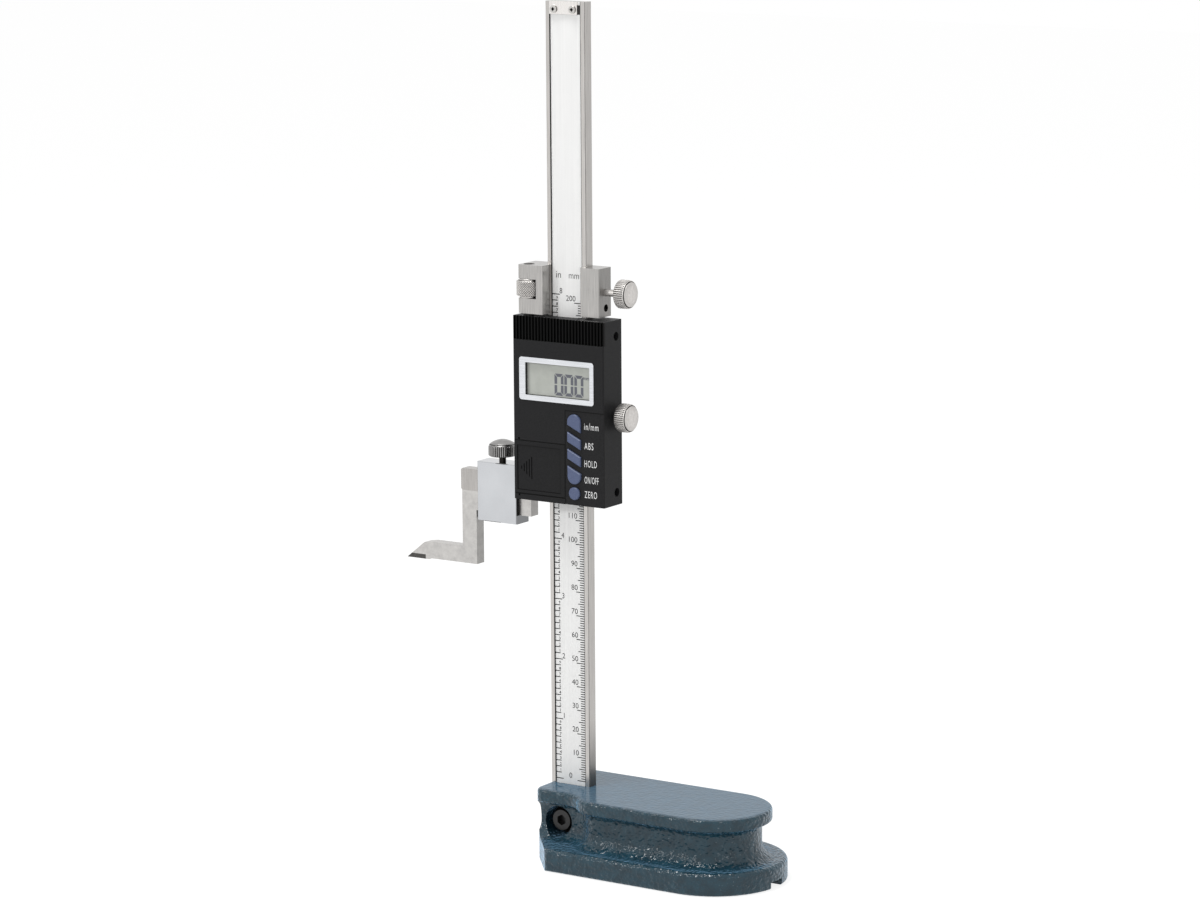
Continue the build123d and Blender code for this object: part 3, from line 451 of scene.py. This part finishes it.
# Painted shade on the carriage in the window round the nut
NUT_WINDOW = ((-19.75, -8.7, 233.25), (-10.95, 0.05, 241.35))
GRIP = ((-30.0, -20.0, 216.4), (30.0, -8.0, 226.05))
# Painted shade along steps of the housing: above and below the battery cover and along the
# keypad's top
POCKET_SEAMS = (
    ((-22.2, -9.8, 174.35), (3.1, -9.0, 174.8)),
    ((-22.2, -9.8, 152.1), (3.1, -9.0, 152.55)),
    ((3.2, -9.8, 188.6), (22.3, -9.3, 188.95)),
)
# Painted shade on the cover: in its arrow grooves and along the steps round its field
ARROW = ((-19.0, -9.34, 153.0), (-12.4, -9.0, 174.0))
FIELD_SEAMS = (
    ((-20.5, -9.5, 153.8), (-20.1, -9.2, 172.7)),
    ((0.5, -9.5, 153.8), (0.9, -9.2, 172.7)),
    ((-20.5, -9.5, 172.3), (0.9, -9.2, 172.7)),
    ((-20.5, -9.5, 153.8), (0.9, -9.2, 154.2)),
)
# Painted shade in the gap to the right of the stop plate
PLATE_GAP = ((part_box("stop_plate")[1][0] / MM, -3.0, 349.0), (8.0, -1.0, 352.8))
SCREW_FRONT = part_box("stop_screw_left")[0][1] / MM
SCREW_HEIGHT = 351.0
SCREW_MIDDLES = (-5.1, 3.9)
# Two nested squares in a screw's head: half width, and how far behind the front they start
HEAD_SQUARES = ((0.9, 0.06), (0.5, -0.1))


def screw_dark_places():
    """Painted shade on the two stop screws: black behind their heads, and in a recess in each."""
    behind = ((-9.0, SCREW_FRONT + 0.45, 345.0), (9.0, -1.0, ABOVE_BEAM))
    squares = [
        ((x - half, SCREW_FRONT + start, SCREW_HEIGHT - half),
         (x + half, SCREW_FRONT + 0.5, SCREW_HEIGHT + half))
        for x in SCREW_MIDDLES for half, start in HEAD_SQUARES
    ]
    return (behind, *squares)


# --- Finishes of the record's slots, and of nodes that have one of their own ------------
UPRIGHT = (2600, 2600, 90)
LEVEL = (60, 1400, 1400)
GROUND = (0.24, 0.34)
FINISHES = {
    "hammered_paint": hammered_paint(),
    "ground_steel": steel("ground_steel", (172, 171, 169), (196, 195, 192), UPRIGHT),
    "scale_print": strip_metal(),
    "grid_laminate": moulded("grid_laminate", (30, 70, 45), (50, 110, 70), 900, 0.4, 0.01),
    "black_screw": moulded("black_oxide", (16, 16, 16), (28, 28, 28), 1500, 0.35, 0.02),
    "black_plastic": moulded(
        "black_plastic", (28, 28, 29), (36, 36, 37), 2200, 0.45, 0.03, gloss=0.12),
    "button_plastic": moulded(
        "button_plastic", (74, 86, 119), (88, 99, 131), 2500, 0.42, 0.02),
    "bezel_silver": steel(
        "bezel_silver", (206, 208, 212), (226, 228, 232), LEVEL, (0.2, 0.3), 0.01),
    "display_glass": display_sheet(),
    "silicone": moulded("silicone", (90, 90, 92), (110, 110, 112), 600, 0.6, 0.01),
    "board_laminate": moulded("board_laminate", (18, 70, 40), (30, 96, 56), 700, 0.35, 0.01),
    "cell_steel": steel("cell_steel", (190, 190, 188), (214, 214, 212), even(700), (0.2, 0.3)),
    "brass": steel("brass", (176, 144, 84), (206, 174, 108), even(700), (0.25, 0.35)),
    "knob_steel": steel(
        "knob_steel", (190, 188, 185), (212, 210, 207), even(1500), (0.28, 0.38)),
    # Painted shade on faces along x and inside the clamp box, and a painted dark reflection on
    # its right end
    "bright_chrome": steel(
        "bright_chrome", (184, 186, 189), (197, 199, 202), even(40), (0.08, 0.14), 0.005,
        sides=0.38, dark=(BOX_INSIDE, BOX_RIM)),
    "carbide": steel("carbide", (72, 71, 69), (90, 89, 87), even(900), (0.3, 0.4)),
}
OWN_FINISHES = {
    # Nearly black in the grip band, and painted shade along the pocket's seams
    "housing": moulded(
        "housing_plastic", (32, 32, 33), (41, 41, 42), 2200, 0.45, 0.03,
        gloss=0.1, dark=(GRIP, *POCKET_SEAMS)),
    # Painted shade in the arrow grooves and along the seams round the field
    "battery_cover": moulded(
        "cover_plastic", (28, 28, 29), (36, 36, 37), 2200, 0.42, 0.03,
        gloss=0.12, dark=(ARROW, *FIELD_SEAMS)),
    # Painted shade on the sides, stronger near the base, in the recess and along the front edges
    "beam": steel(
        "beam_steel", (183, 180, 177), (201, 198, 195), UPRIGHT, GROUND, 0.01,
        sides=0.84, foot=(30, 58), dark=(RECESS, *BEAM_EDGES)),
    # Painted shade on the right side and in the window round the nut
    "carriage": steel(
        "carriage_steel", (162, 160, 158), (188, 186, 183), UPRIGHT, GROUND,
        sides=0.6, right=0.0, dark=(NUT_WINDOW,)),
    # Painted shade on the sides
    "slider_frame": steel(
        "frame_steel", (164, 161, 158), (184, 181, 178), UPRIGHT, GROUND, sides=0.75),
    # Painted shade on the sides
    "scriber": steel(
        "scriber_steel", (180, 178, 176), (200, 198, 195), even(420), (0.3, 0.4), sides=0.6),
    "stop_plate": steel(
        "plate_steel", (226, 222, 219), (238, 235, 232), UPRIGHT, (0.2, 0.3), 0.01),
}
for hand in ("left", "right"):
    OWN_FINISHES["stop_screw_" + hand] = steel(
        "screw_steel_" + hand, (186, 184, 181), (206, 204, 201), even(900),
        dark=screw_dark_places())
# Sides above 1: a painted highlight on faces along x, such as the lock screws' domes
KNURLED_STEEL = steel(
    "knurled_steel", (184, 181, 178), (204, 201, 198), even(900), (0.42, 0.5), 0.01,
    sides=1.18, knurled=True)
KNURLED_CHROME = steel(
    "knurled_chrome", (142, 141, 140), (160, 159, 158), even(400), (0.26, 0.34), 0.01,
    knurled=True)
BLACK_INK = printed("black_ink", tone(22, 22, 24))
WHITE_INK = printed("white_ink", tone(250, 250, 250))
DISPLAY_INK = printed("display_segments", tone(112, 114, 122))


def paint(piece, material):
    """Give a CAD node or a new piece its material."""
    if not piece.material_slots:
        piece.data.materials.append(material)
    for slot in piece.material_slots:
        slot.material = material


# --- Meshes -----------------------------------------------------------------------------
def mesh_of(name, points, *face_sets, crease=None):
    """Mesh from an N x 3 array of points and arrays of point numbers, M x 3 or M x 4. It is
    flat shaded, or smooth up to the crease angle in degrees."""
    mesh = bpy.data.meshes.new(name)
    mesh.vertices.add(len(points))
    mesh.vertices.foreach_set("co", np.ascontiguousarray(points, np.float32).ravel())
    corners = np.concatenate([faces.ravel() for faces in face_sets]).astype(np.int32)
    sides = np.concatenate([np.full(len(faces), faces.shape[1]) for faces in face_sets])
    mesh.loops.add(len(corners))
    mesh.loops.foreach_set("vertex_index", corners)
    mesh.polygons.add(len(sides))
    mesh.polygons.foreach_set("loop_start", (np.cumsum(sides) - sides).astype(np.int32))
    mesh.update(calc_edges=True)
    if crease is None:
        mesh.shade_flat()
    else:
        mesh.shade_smooth()
        mesh.set_sharp_from_angle(angle=radians(crease))
    return mesh


def new_piece(mesh, material, body):
    """A finished piece at the origin, named as its mesh, painted and riding on a body."""
    piece = bpy.data.objects.new(mesh.name, mesh)
    scene.collection.objects.link(piece)
    paint(piece, material)
    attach(piece, body)
    return piece


def ring_faces(rows, columns, closed=True):
    """Faces between rings of points numbered row by row; closed joins the last ring to the
    first one as well."""
    lines = np.arange(rows if closed else rows - 1)
    row, column = np.meshgrid(lines, np.arange(columns), indexing="ij")
    after_row, after_column = (row + 1) % rows, (column + 1) % columns
    corners = (row * columns + column, row * columns + after_column,
               after_row * columns + after_column, after_row * columns + column)
    return np.stack(corners, -1).reshape(-1, 4)


def turned(section, columns, lift, frame_of):
    """Rings of points round an axis: a row (r, h, d, s) of the section becomes
    centre + h * along + (r - d * groove) * (cos a * across + sin a * aside), where the groove
    is 1 minus the lift at that height and angle. Returns points and, for the painted shade, the
    groove or, where the row has no depth d, its share s."""
    centre, across, aside, along = (np.array(part, float) for part in frame_of)
    angle = np.linspace(0, 2 * pi, columns, endpoint=False)[None, :]
    radius, height, depth, painted_shade = (section[:, k][:, None] for k in range(4))
    groove = np.where(depth > 0, 1 - lift(angle, height), painted_shade)
    reach = radius - depth * groove
    cosines = (reach * np.cos(angle))[..., None] * across
    sines = (reach * np.sin(angle))[..., None] * aside
    points = centre + height[..., None] * along + cosines + sines
    return points.reshape(-1, 3), groove.ravel()


def add_grooves(mesh, groove):
    """Keep for each point its share of painted shade, from the knurling's grooves or the section.
    """
    values = mesh.attributes.new("groove", "FLOAT", "POINT")
    values.data.foreach_set("value", np.ascontiguousarray(groove, np.float32))


BAR_CORNERS = np.array([[0, 0, 0], [1, 0, 0], [1, 1, 0], [0, 1, 0],
                        [0, 0, 1], [1, 0, 1], [1, 1, 1], [0, 1, 1]])
BAR_FACES = np.array([[0, 3, 2, 1], [4, 5, 6, 7], [0, 1, 5, 4],
                      [1, 2, 6, 5], [2, 3, 7, 6], [3, 0, 4, 7]])


def bars(lows, highs):
    """One bar for each row of low and high corners: corner = low + (high - low) * (0 or 1)."""
    points = lows[:, None, :] + (highs - lows)[:, None, :] * BAR_CORNERS[None]
    faces = BAR_FACES[None] + 8 * np.arange(len(lows))[:, None, None]
    return points.reshape(-1, 3), faces.reshape(-1, 4)


def joined(shapes):
    """Points and faces of several shapes, one after the other."""
    starts = np.cumsum([0] + [len(points) for points, _ in shapes[:-1]])
    points = np.concatenate([points for points, _ in shapes])
    return points, np.concatenate([faces + start for (_, faces), start in zip(shapes, starts)])


# --- Lettering --------------------------------------------------------------------------
INK_DEPTH = 0.02 * MM


def flat_letters(words, curve_steps, bolder=0.0, spacing=1.0):
    """Filled and slightly thick letters of a word, as triangles; bolder adds that much to each
    side of a stroke."""
    curve = bpy.data.curves.new("letters", "FONT")
    curve.body = words
    curve.resolution_u = curve_steps
    curve.extrude = 0.5
    curve.offset = bolder
    curve.space_character = spacing
    holder = bpy.data.objects.new("letters", curve)
    scene.collection.objects.link(holder)
    shaped = holder.evaluated_get(bpy.context.evaluated_depsgraph_get())
    mesh = bpy.data.meshes.new_from_object(shaped)
    mesh.calc_loop_triangles()
    points = np.empty(3 * len(mesh.vertices), np.float32)
    mesh.vertices.foreach_get("co", points)
    faces = np.empty(3 * len(mesh.loop_triangles), np.int32)
    mesh.loop_triangles.foreach_get("vertices", faces)
    bpy.data.objects.remove(holder)
    bpy.data.curves.remove(curve)
    bpy.data.meshes.remove(mesh)
    return points.reshape(-1, 3).astype(float), faces.reshape(-1, 3)


CAPITAL = float(np.ptp(flat_letters("H", 1)[0][:, 1]))


def word(words, height, x, z, front, side=0.5, narrow=1.0, width=None, curve_steps=4, **style):
    """Letters standing on a face that looks to -y: the line starts at height z, and the share
    side of its width lies left of x. Each point (a, b, c) goes to (x + a, front - c, z + b).
    The letters are narrowed by a share, or until the word has the given width."""
    points, faces = flat_letters(words, curve_steps, **style)
    size = height / CAPITAL
    across = (points[:, 0] - points[:, 0].min()) * size * narrow
    if width is not None:
        across *= width / across.max()
    across -= side * across.max()
    outwards = (points[:, 2] + 0.5) * INK_DEPTH
    return np.stack([x + across, front - outwards, z + points[:, 1] * size], -1), faces


def print_on(name, shapes, ink, body):
    """A piece of print made of several shapes."""
    new_piece(mesh_of(name, *joined(shapes)), ink, body)


# --- Graduations and their numbers ------------------------------------------------------
STRIP_FRONT = -2.1 * MM
STRIP_HALF = 7.28 * MM
ZERO_HEIGHT = 31.9 * MM
INCH = 25.4 * MM
LAST_MM = 200
LAST_INCH = 8
TICK = 0.36 * MM
NUMERAL_HEIGHT = 2.2 * MM
TENTH_HEIGHT = 1.3 * MM
UNIT_HEIGHT = 2.7 * MM
UNIT_FOOT = 241.9 * MM


def tick_bars(heights, lengths, side):
    """Printed ticks that start at one edge of the strip and run inwards by their lengths."""
    ones = np.ones(len(heights))
    edge = side * STRIP_HALF
    inner = edge - side * lengths
    rear, front = STRIP_FRONT * ones, (STRIP_FRONT - INK_DEPTH) * ones
    lows = np.stack([np.minimum(edge, inner), front, heights - TICK / 2], -1)
    highs = np.stack([np.maximum(edge, inner), rear, heights + TICK / 2], -1)
    return bars(lows, highs)


def make_graduations():
    """Millimetre ticks on the right edge, longer at 5 and 10; tenths of an inch on the left
    edge, longer at each inch."""
    step = np.arange(LAST_MM + 1)
    lengths = np.where(step % 10 == 0, 4.1, np.where(step % 5 == 0, 3.2, 2.2)) * MM
    metric = tick_bars(ZERO_HEIGHT + step * MM, lengths, 1)
    tenth = np.arange(10 * LAST_INCH + 1)
    lengths = np.where(tenth % 10 == 0, 3.5, 2.5) * MM
    inches = tick_bars(ZERO_HEIGHT + tenth * INCH / 10, lengths, -1)
    print_on("scale_graduations", [metric, inches], BLACK_INK, "base")


def make_numerals():
    """Numbers over every tenth millimetre tick, over every inch and, small, every tenth inch,
    and the two units above the scales."""
    shapes = []
    for number in range(0, LAST_MM + 1, 10):
        foot = ZERO_HEIGHT + (number + 0.75) * MM
        x, side = (3.9, 1.0) if number else (-0.2, 0.5)
        shapes.append(word(str(number), NUMERAL_HEIGHT, x * MM, foot, STRIP_FRONT, side))
    for number in range(1, LAST_INCH + 1):
        foot = ZERO_HEIGHT + number * INCH + 0.4 * MM
        shapes.append(word(str(number), NUMERAL_HEIGHT, -3.2 * MM, foot, STRIP_FRONT,
                           narrow=0.9))
    for tenth in range(10 * LAST_INCH):
        if tenth % 10:
            foot = ZERO_HEIGHT + tenth * INCH / 10 + 0.42 * MM
            shapes.append(word(str(tenth % 10), TENTH_HEIGHT, -5.1 * MM, foot, STRIP_FRONT,
                               curve_steps=1, bolder=0.01))
    for unit, x, narrow in (("in", -4.3, 1.0), ("mm", 3.2, 0.88)):
        shapes.append(word(unit, UNIT_HEIGHT, x * MM, UNIT_FOOT, STRIP_FRONT,
                           narrow=narrow, bolder=-0.005))
    print_on("scale_numerals", shapes, BLACK_INK, "base")


# --- Display and key labels -------------------------------------------------------------
PANEL_FRONT = -8.8 * MM
KEYPAD_FRONT = -9.4 * MM
LABEL_LEFT = 12.55 * MM
LABEL_HEIGHT = 2.75 * MM
LABEL_SPACING = 1.2
# Each label: its words, and the height of its foot and its width in millimetres
LABELS = (
    ("in/mm", 181.6, 6.9),
    ("ABS", 173.55, 4.4),
    ("HOLD", 166.25, 6.0),
    ("ON/OFF", 159.5, 6.8),
    ("ZERO", 153.5, 6.0),
)
# The display's figures in millimetres: their left edges, and their foot, width, height,
# thickness of a segment and gap between two segments
FIGURES_LEFT = (-2.2, 2.6, 7.5)
FIGURE_SIZES = (194.5, 4.4, 9.0, 1.3, 0.2)
# The display's unit: height of its letters, middle and foot
UNIT_MARK = (1.4 * MM, 13.3 * MM, 202.0 * MM)


def make_labels():
    """White names beside the keys, in narrow capitals from one left edge."""
    shapes = [
        word(words, LABEL_HEIGHT, LABEL_LEFT, foot * MM, KEYPAD_FRONT,
             side=0.0, width=width * MM, spacing=LABEL_SPACING)
        for words, foot, width in LABELS
    ]
    print_on("key_labels", shapes, WHITE_INK, "slider")


def segment(corners):
    """A dark four-cornered field of the display, as thick as ink: corners (x, z) in
    millimetres, anticlockwise seen from the front."""
    flat = np.array(corners, float) * MM
    rear = np.insert(flat, 1, PANEL_FRONT, axis=1)
    front = np.insert(flat, 1, PANEL_FRONT - INK_DEPTH, axis=1)
    return np.concatenate([rear, front]), BAR_FACES


def nought(left, low, width, height, thick, gap):
    """The six outer segments of a figure: two level ones and four upright ones, cut at 45
    degrees where they meet, with a gap between neighbours."""
    right, high, middle = left + width, low + height, low + height / 2
    near = gap / 2
    end = near + gap
    return [
        segment([(left + thick, high - thick), (right - thick, high - thick),
                 (right - end, high), (left + end, high)]),
        segment([(left + end, low), (right - end, low),
                 (right - thick, low + thick), (left + thick, low + thick)]),
        segment([(left, low + end), (left + thick, low + thick + gap),
                 (left + thick, middle - end), (left, middle - gap)]),
        segment([(left, middle + gap), (left + thick, middle + end),
                 (left + thick, high - thick - gap), (left, high - end)]),
        segment([(right - thick, low + thick + gap), (right, low + end),
                 (right, middle - gap), (right - thick, middle - end)]),
        segment([(right - thick, middle + end), (right, middle + gap),
                 (right, high - end), (right - thick, high - thick - gap)]),
    ]


def make_reading():
    """Three noughts and a small unit on the display."""
    figures = [part for left in FIGURES_LEFT for part in nought(left, *FIGURE_SIZES)]
    print_on("display_figures", figures, DISPLAY_INK, "slider")
    unit = word("mm", *UNIT_MARK, PANEL_FRONT, bolder=0.02)
    print_on("display_unit", [unit], DISPLAY_INK, "slider")


# --- Knurled nut and thumb screws -------------------------------------------------------
CREASE = 35
NUT_TEETH = 16
NUT_COLUMNS = 320
NUT_ROWS = 44
NUT_PAINTED_SHADE = 0.85
FLUTE_WAVES = 21
SCREW_COLUMNS = 336
SHANK_RADIUS = 1.45 * MM
SHANK_CHAMFER = 0.25 * MM
KNOB_LENGTH = 5.35
FACE_RADIUS = 4.95
# Painted shade over each dome, stronger towards its rim
DOME_SHARES = np.linspace(0.96, 0.06, 14)
FACE_PAINTED_SHADE = 0.12
FACE_RIM_PAINTED_SHADE = 0.14
# The knob's section from its rear face over the fluted rim, its lip and a ring groove to the
# edge of the front face: radius, height above the rear face and depth of the flutes, all in
# millimetres, and share of painted shade
KNOB_SECTION = (
    (5.3, 0, 0, 0.3), (5.5, 0.1, 0, 0), (5.72, 0.2, 0.42, 0), (5.92, 0.4, 0.42, 0),
    (5.97, 0.6, 0.42, 0), (5.97, 4.0, 0.42, 0), (5.92, 4.2, 0.42, 0), (5.72, 4.4, 0.42, 0),
    (5.6, 4.5, 0, 0), (5.6, 4.72, 0, 0), (5.5, 4.82, 0, 0), (5.42, 4.82, 0, 0.5),
    (5.38, 4.55, 0, 1), (5.14, 4.55, 0, 1), (5.1, 5.1, 0, 0.6), (5.05, 5.25, 0, 0.2),
    (FACE_RADIUS, KNOB_LENGTH, 0, 0.2),
)
# Each thumb screw: node, body, slot, axis, height of its dome in millimetres, painted shade on
# its shank and finish
THUMB_SCREWS = (
    ("slider_lock_screw", "slider_lock", "knob_steel", (1, 0, 0), 0.35, 0.0, KNURLED_STEEL),
    ("carriage_lock_screw", "carriage_lock", "knob_steel", (1, 0, 0), 0.35, 0.0, KNURLED_STEEL),
    ("clamp_screw", "clamp_screw", "bright_chrome", (0, 0, 1), 1.6, 0.95, KNURLED_CHROME),
)


def make_nut():
    """Fine adjusting nut turned round its own axis. Its section runs from the bore over the
    lower collar, the knurled barrel and the upper collar back to the bore. Two crossing sets of
    grooves leave the lift min(1, 1.5 * min(|sin(n * a + k * h)|, |sin(n * a - k * h)|))."""
    low, high = (np.array(corner, float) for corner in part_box("adjust_nut"))
    outer = (high[0] - low[0]) / 2
    length = high[2] - low[2]
    bore, collar, shoulder, depth, edge = 2.1 * MM, 3.9 * MM, 0.7 * MM, 0.25 * MM, 0.12 * MM
    # The last number of each row is its share of painted shade
    lower_rows = [
        (bore, edge, 0, 0.5), (bore + edge, 0, 0, 0), (collar - edge, 0, 0, 0),
        (collar, edge, 0, 0), (collar, shoulder - edge, 0, 0), (collar, shoulder, 0, 0.9),
        (outer - 0.5 * MM, shoulder, 0, 0.5), (outer - 0.3 * MM, shoulder + 0.15 * MM, 0, 0.1),
    ]
    upper_rows = [(radius, length - height, 0, painted_shade) for radius, height, _, painted_shade in lower_rows]
    barrel = np.linspace(shoulder + 0.3 * MM, length - shoulder - 0.3 * MM, NUT_ROWS)
    knurl = [(outer, height, depth, 0) for height in barrel]
    section = np.array(lower_rows + knurl + upper_rows[::-1])
    rise = NUT_TEETH / outer

    def lift(angle, height):
        turn, climb = NUT_TEETH * angle, rise * height
        crossing = np.minimum(np.abs(np.sin(turn + climb)), np.abs(np.sin(turn - climb)))
        return np.minimum(1, 1.5 * crossing)

    centre = (*(low[:2] + high[:2]) / 2, low[2])
    frame_of = (centre, (1, 0, 0), (0, 1, 0), (0, 0, 1))
    points, groove = turned(section, NUT_COLUMNS, lift, frame_of)
    faces = ring_faces(len(section), NUT_COLUMNS)
    mesh = mesh_of("knurled_nut", points, faces, crease=CREASE)
    add_grooves(mesh, NUT_PAINTED_SHADE * groove)
    piece = new_piece(mesh, KNURLED_STEEL, "adjust_nut")
    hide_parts("adjust_nut")


def make_thumb_screw(node, body, slot, along, dome, shank_painted_shade, material):
    """Thumb screw turned round its own axis, from the shank's tip over the knob's section to a
    domed face. Flutes leave the lift 0.8 * min(1, 1.4 * |sin(21 * a)|). The dome is the arc
    h = face + dome * (1 - (r / rim)^2), and both ends close in a point."""
    low, high = (np.array(corner, float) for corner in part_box(node))
    along = np.array(along, float)
    axis = int(np.argmax(along))
    across, aside = np.roll(along, 1), np.roll(along, 2)
    centre = (low + high) / 2
    centre[axis] = high[axis]
    length = high[axis] - low[axis]
    face = -dome * MM
    root = face - KNOB_LENGTH * MM
    # Painted shade on the shank, and below over the dome towards its rim
    rows = [(SHANK_RADIUS - SHANK_CHAMFER, -length, 0, shank_painted_shade),
            (SHANK_RADIUS, SHANK_CHAMFER - length, 0, shank_painted_shade),
            (SHANK_RADIUS, root, 0, shank_painted_shade)]
    rows += [(radius * MM, root + height * MM, depth * MM, painted_shade)
             for radius, height, depth, painted_shade in KNOB_SECTION]
    rows += [(FACE_RADIUS * MM * share, face + dome * MM * (1 - share**2), 0,
              FACE_PAINTED_SHADE + FACE_RIM_PAINTED_SHADE * share**2) for share in DOME_SHARES]
    section = np.array(rows)

    def lift(angle, height):
        return 0.8 * np.minimum(1, 1.4 * np.abs(np.sin(FLUTE_WAVES * angle))) + 0 * height

    points, groove = turned(section, SCREW_COLUMNS, lift, (centre, across, aside, along))
    tip, crown = len(points), len(points) + 1
    points = np.concatenate([points, [centre - length * along, centre]])
    turn = np.arange(SCREW_COLUMNS)
    after = (turn + 1) % SCREW_COLUMNS
    last = tip - SCREW_COLUMNS
    tip_fan = np.stack([np.full(SCREW_COLUMNS, tip), after, turn], -1)
    crown_fan = np.stack([np.full(SCREW_COLUMNS, crown), last + turn, last + after], -1)
    rings = ring_faces(len(section), SCREW_COLUMNS, closed=False)
    mesh = mesh_of(node + "_fluted", points, rings, tip_fan, crown_fan, crease=CREASE)
    add_grooves(mesh, np.append(groove, [shank_painted_shade, FACE_PAINTED_SHADE]))
    piece = new_piece(mesh, material, body)
    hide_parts(node)


# --- The whole picture ------------------------------------------------------------------
for name, node in nodes.items():
    paint(node, OWN_FINISHES.get(name, FINISHES[slot_of[name]]))

make_graduations()
make_numerals()
make_labels()
make_reading()
make_nut()
for screw in THUMB_SCREWS:
    make_thumb_screw(*screw)
make_camera()
make_world()
make_floor()
for lamp in LAMPS:
    soft_box(*lamp)
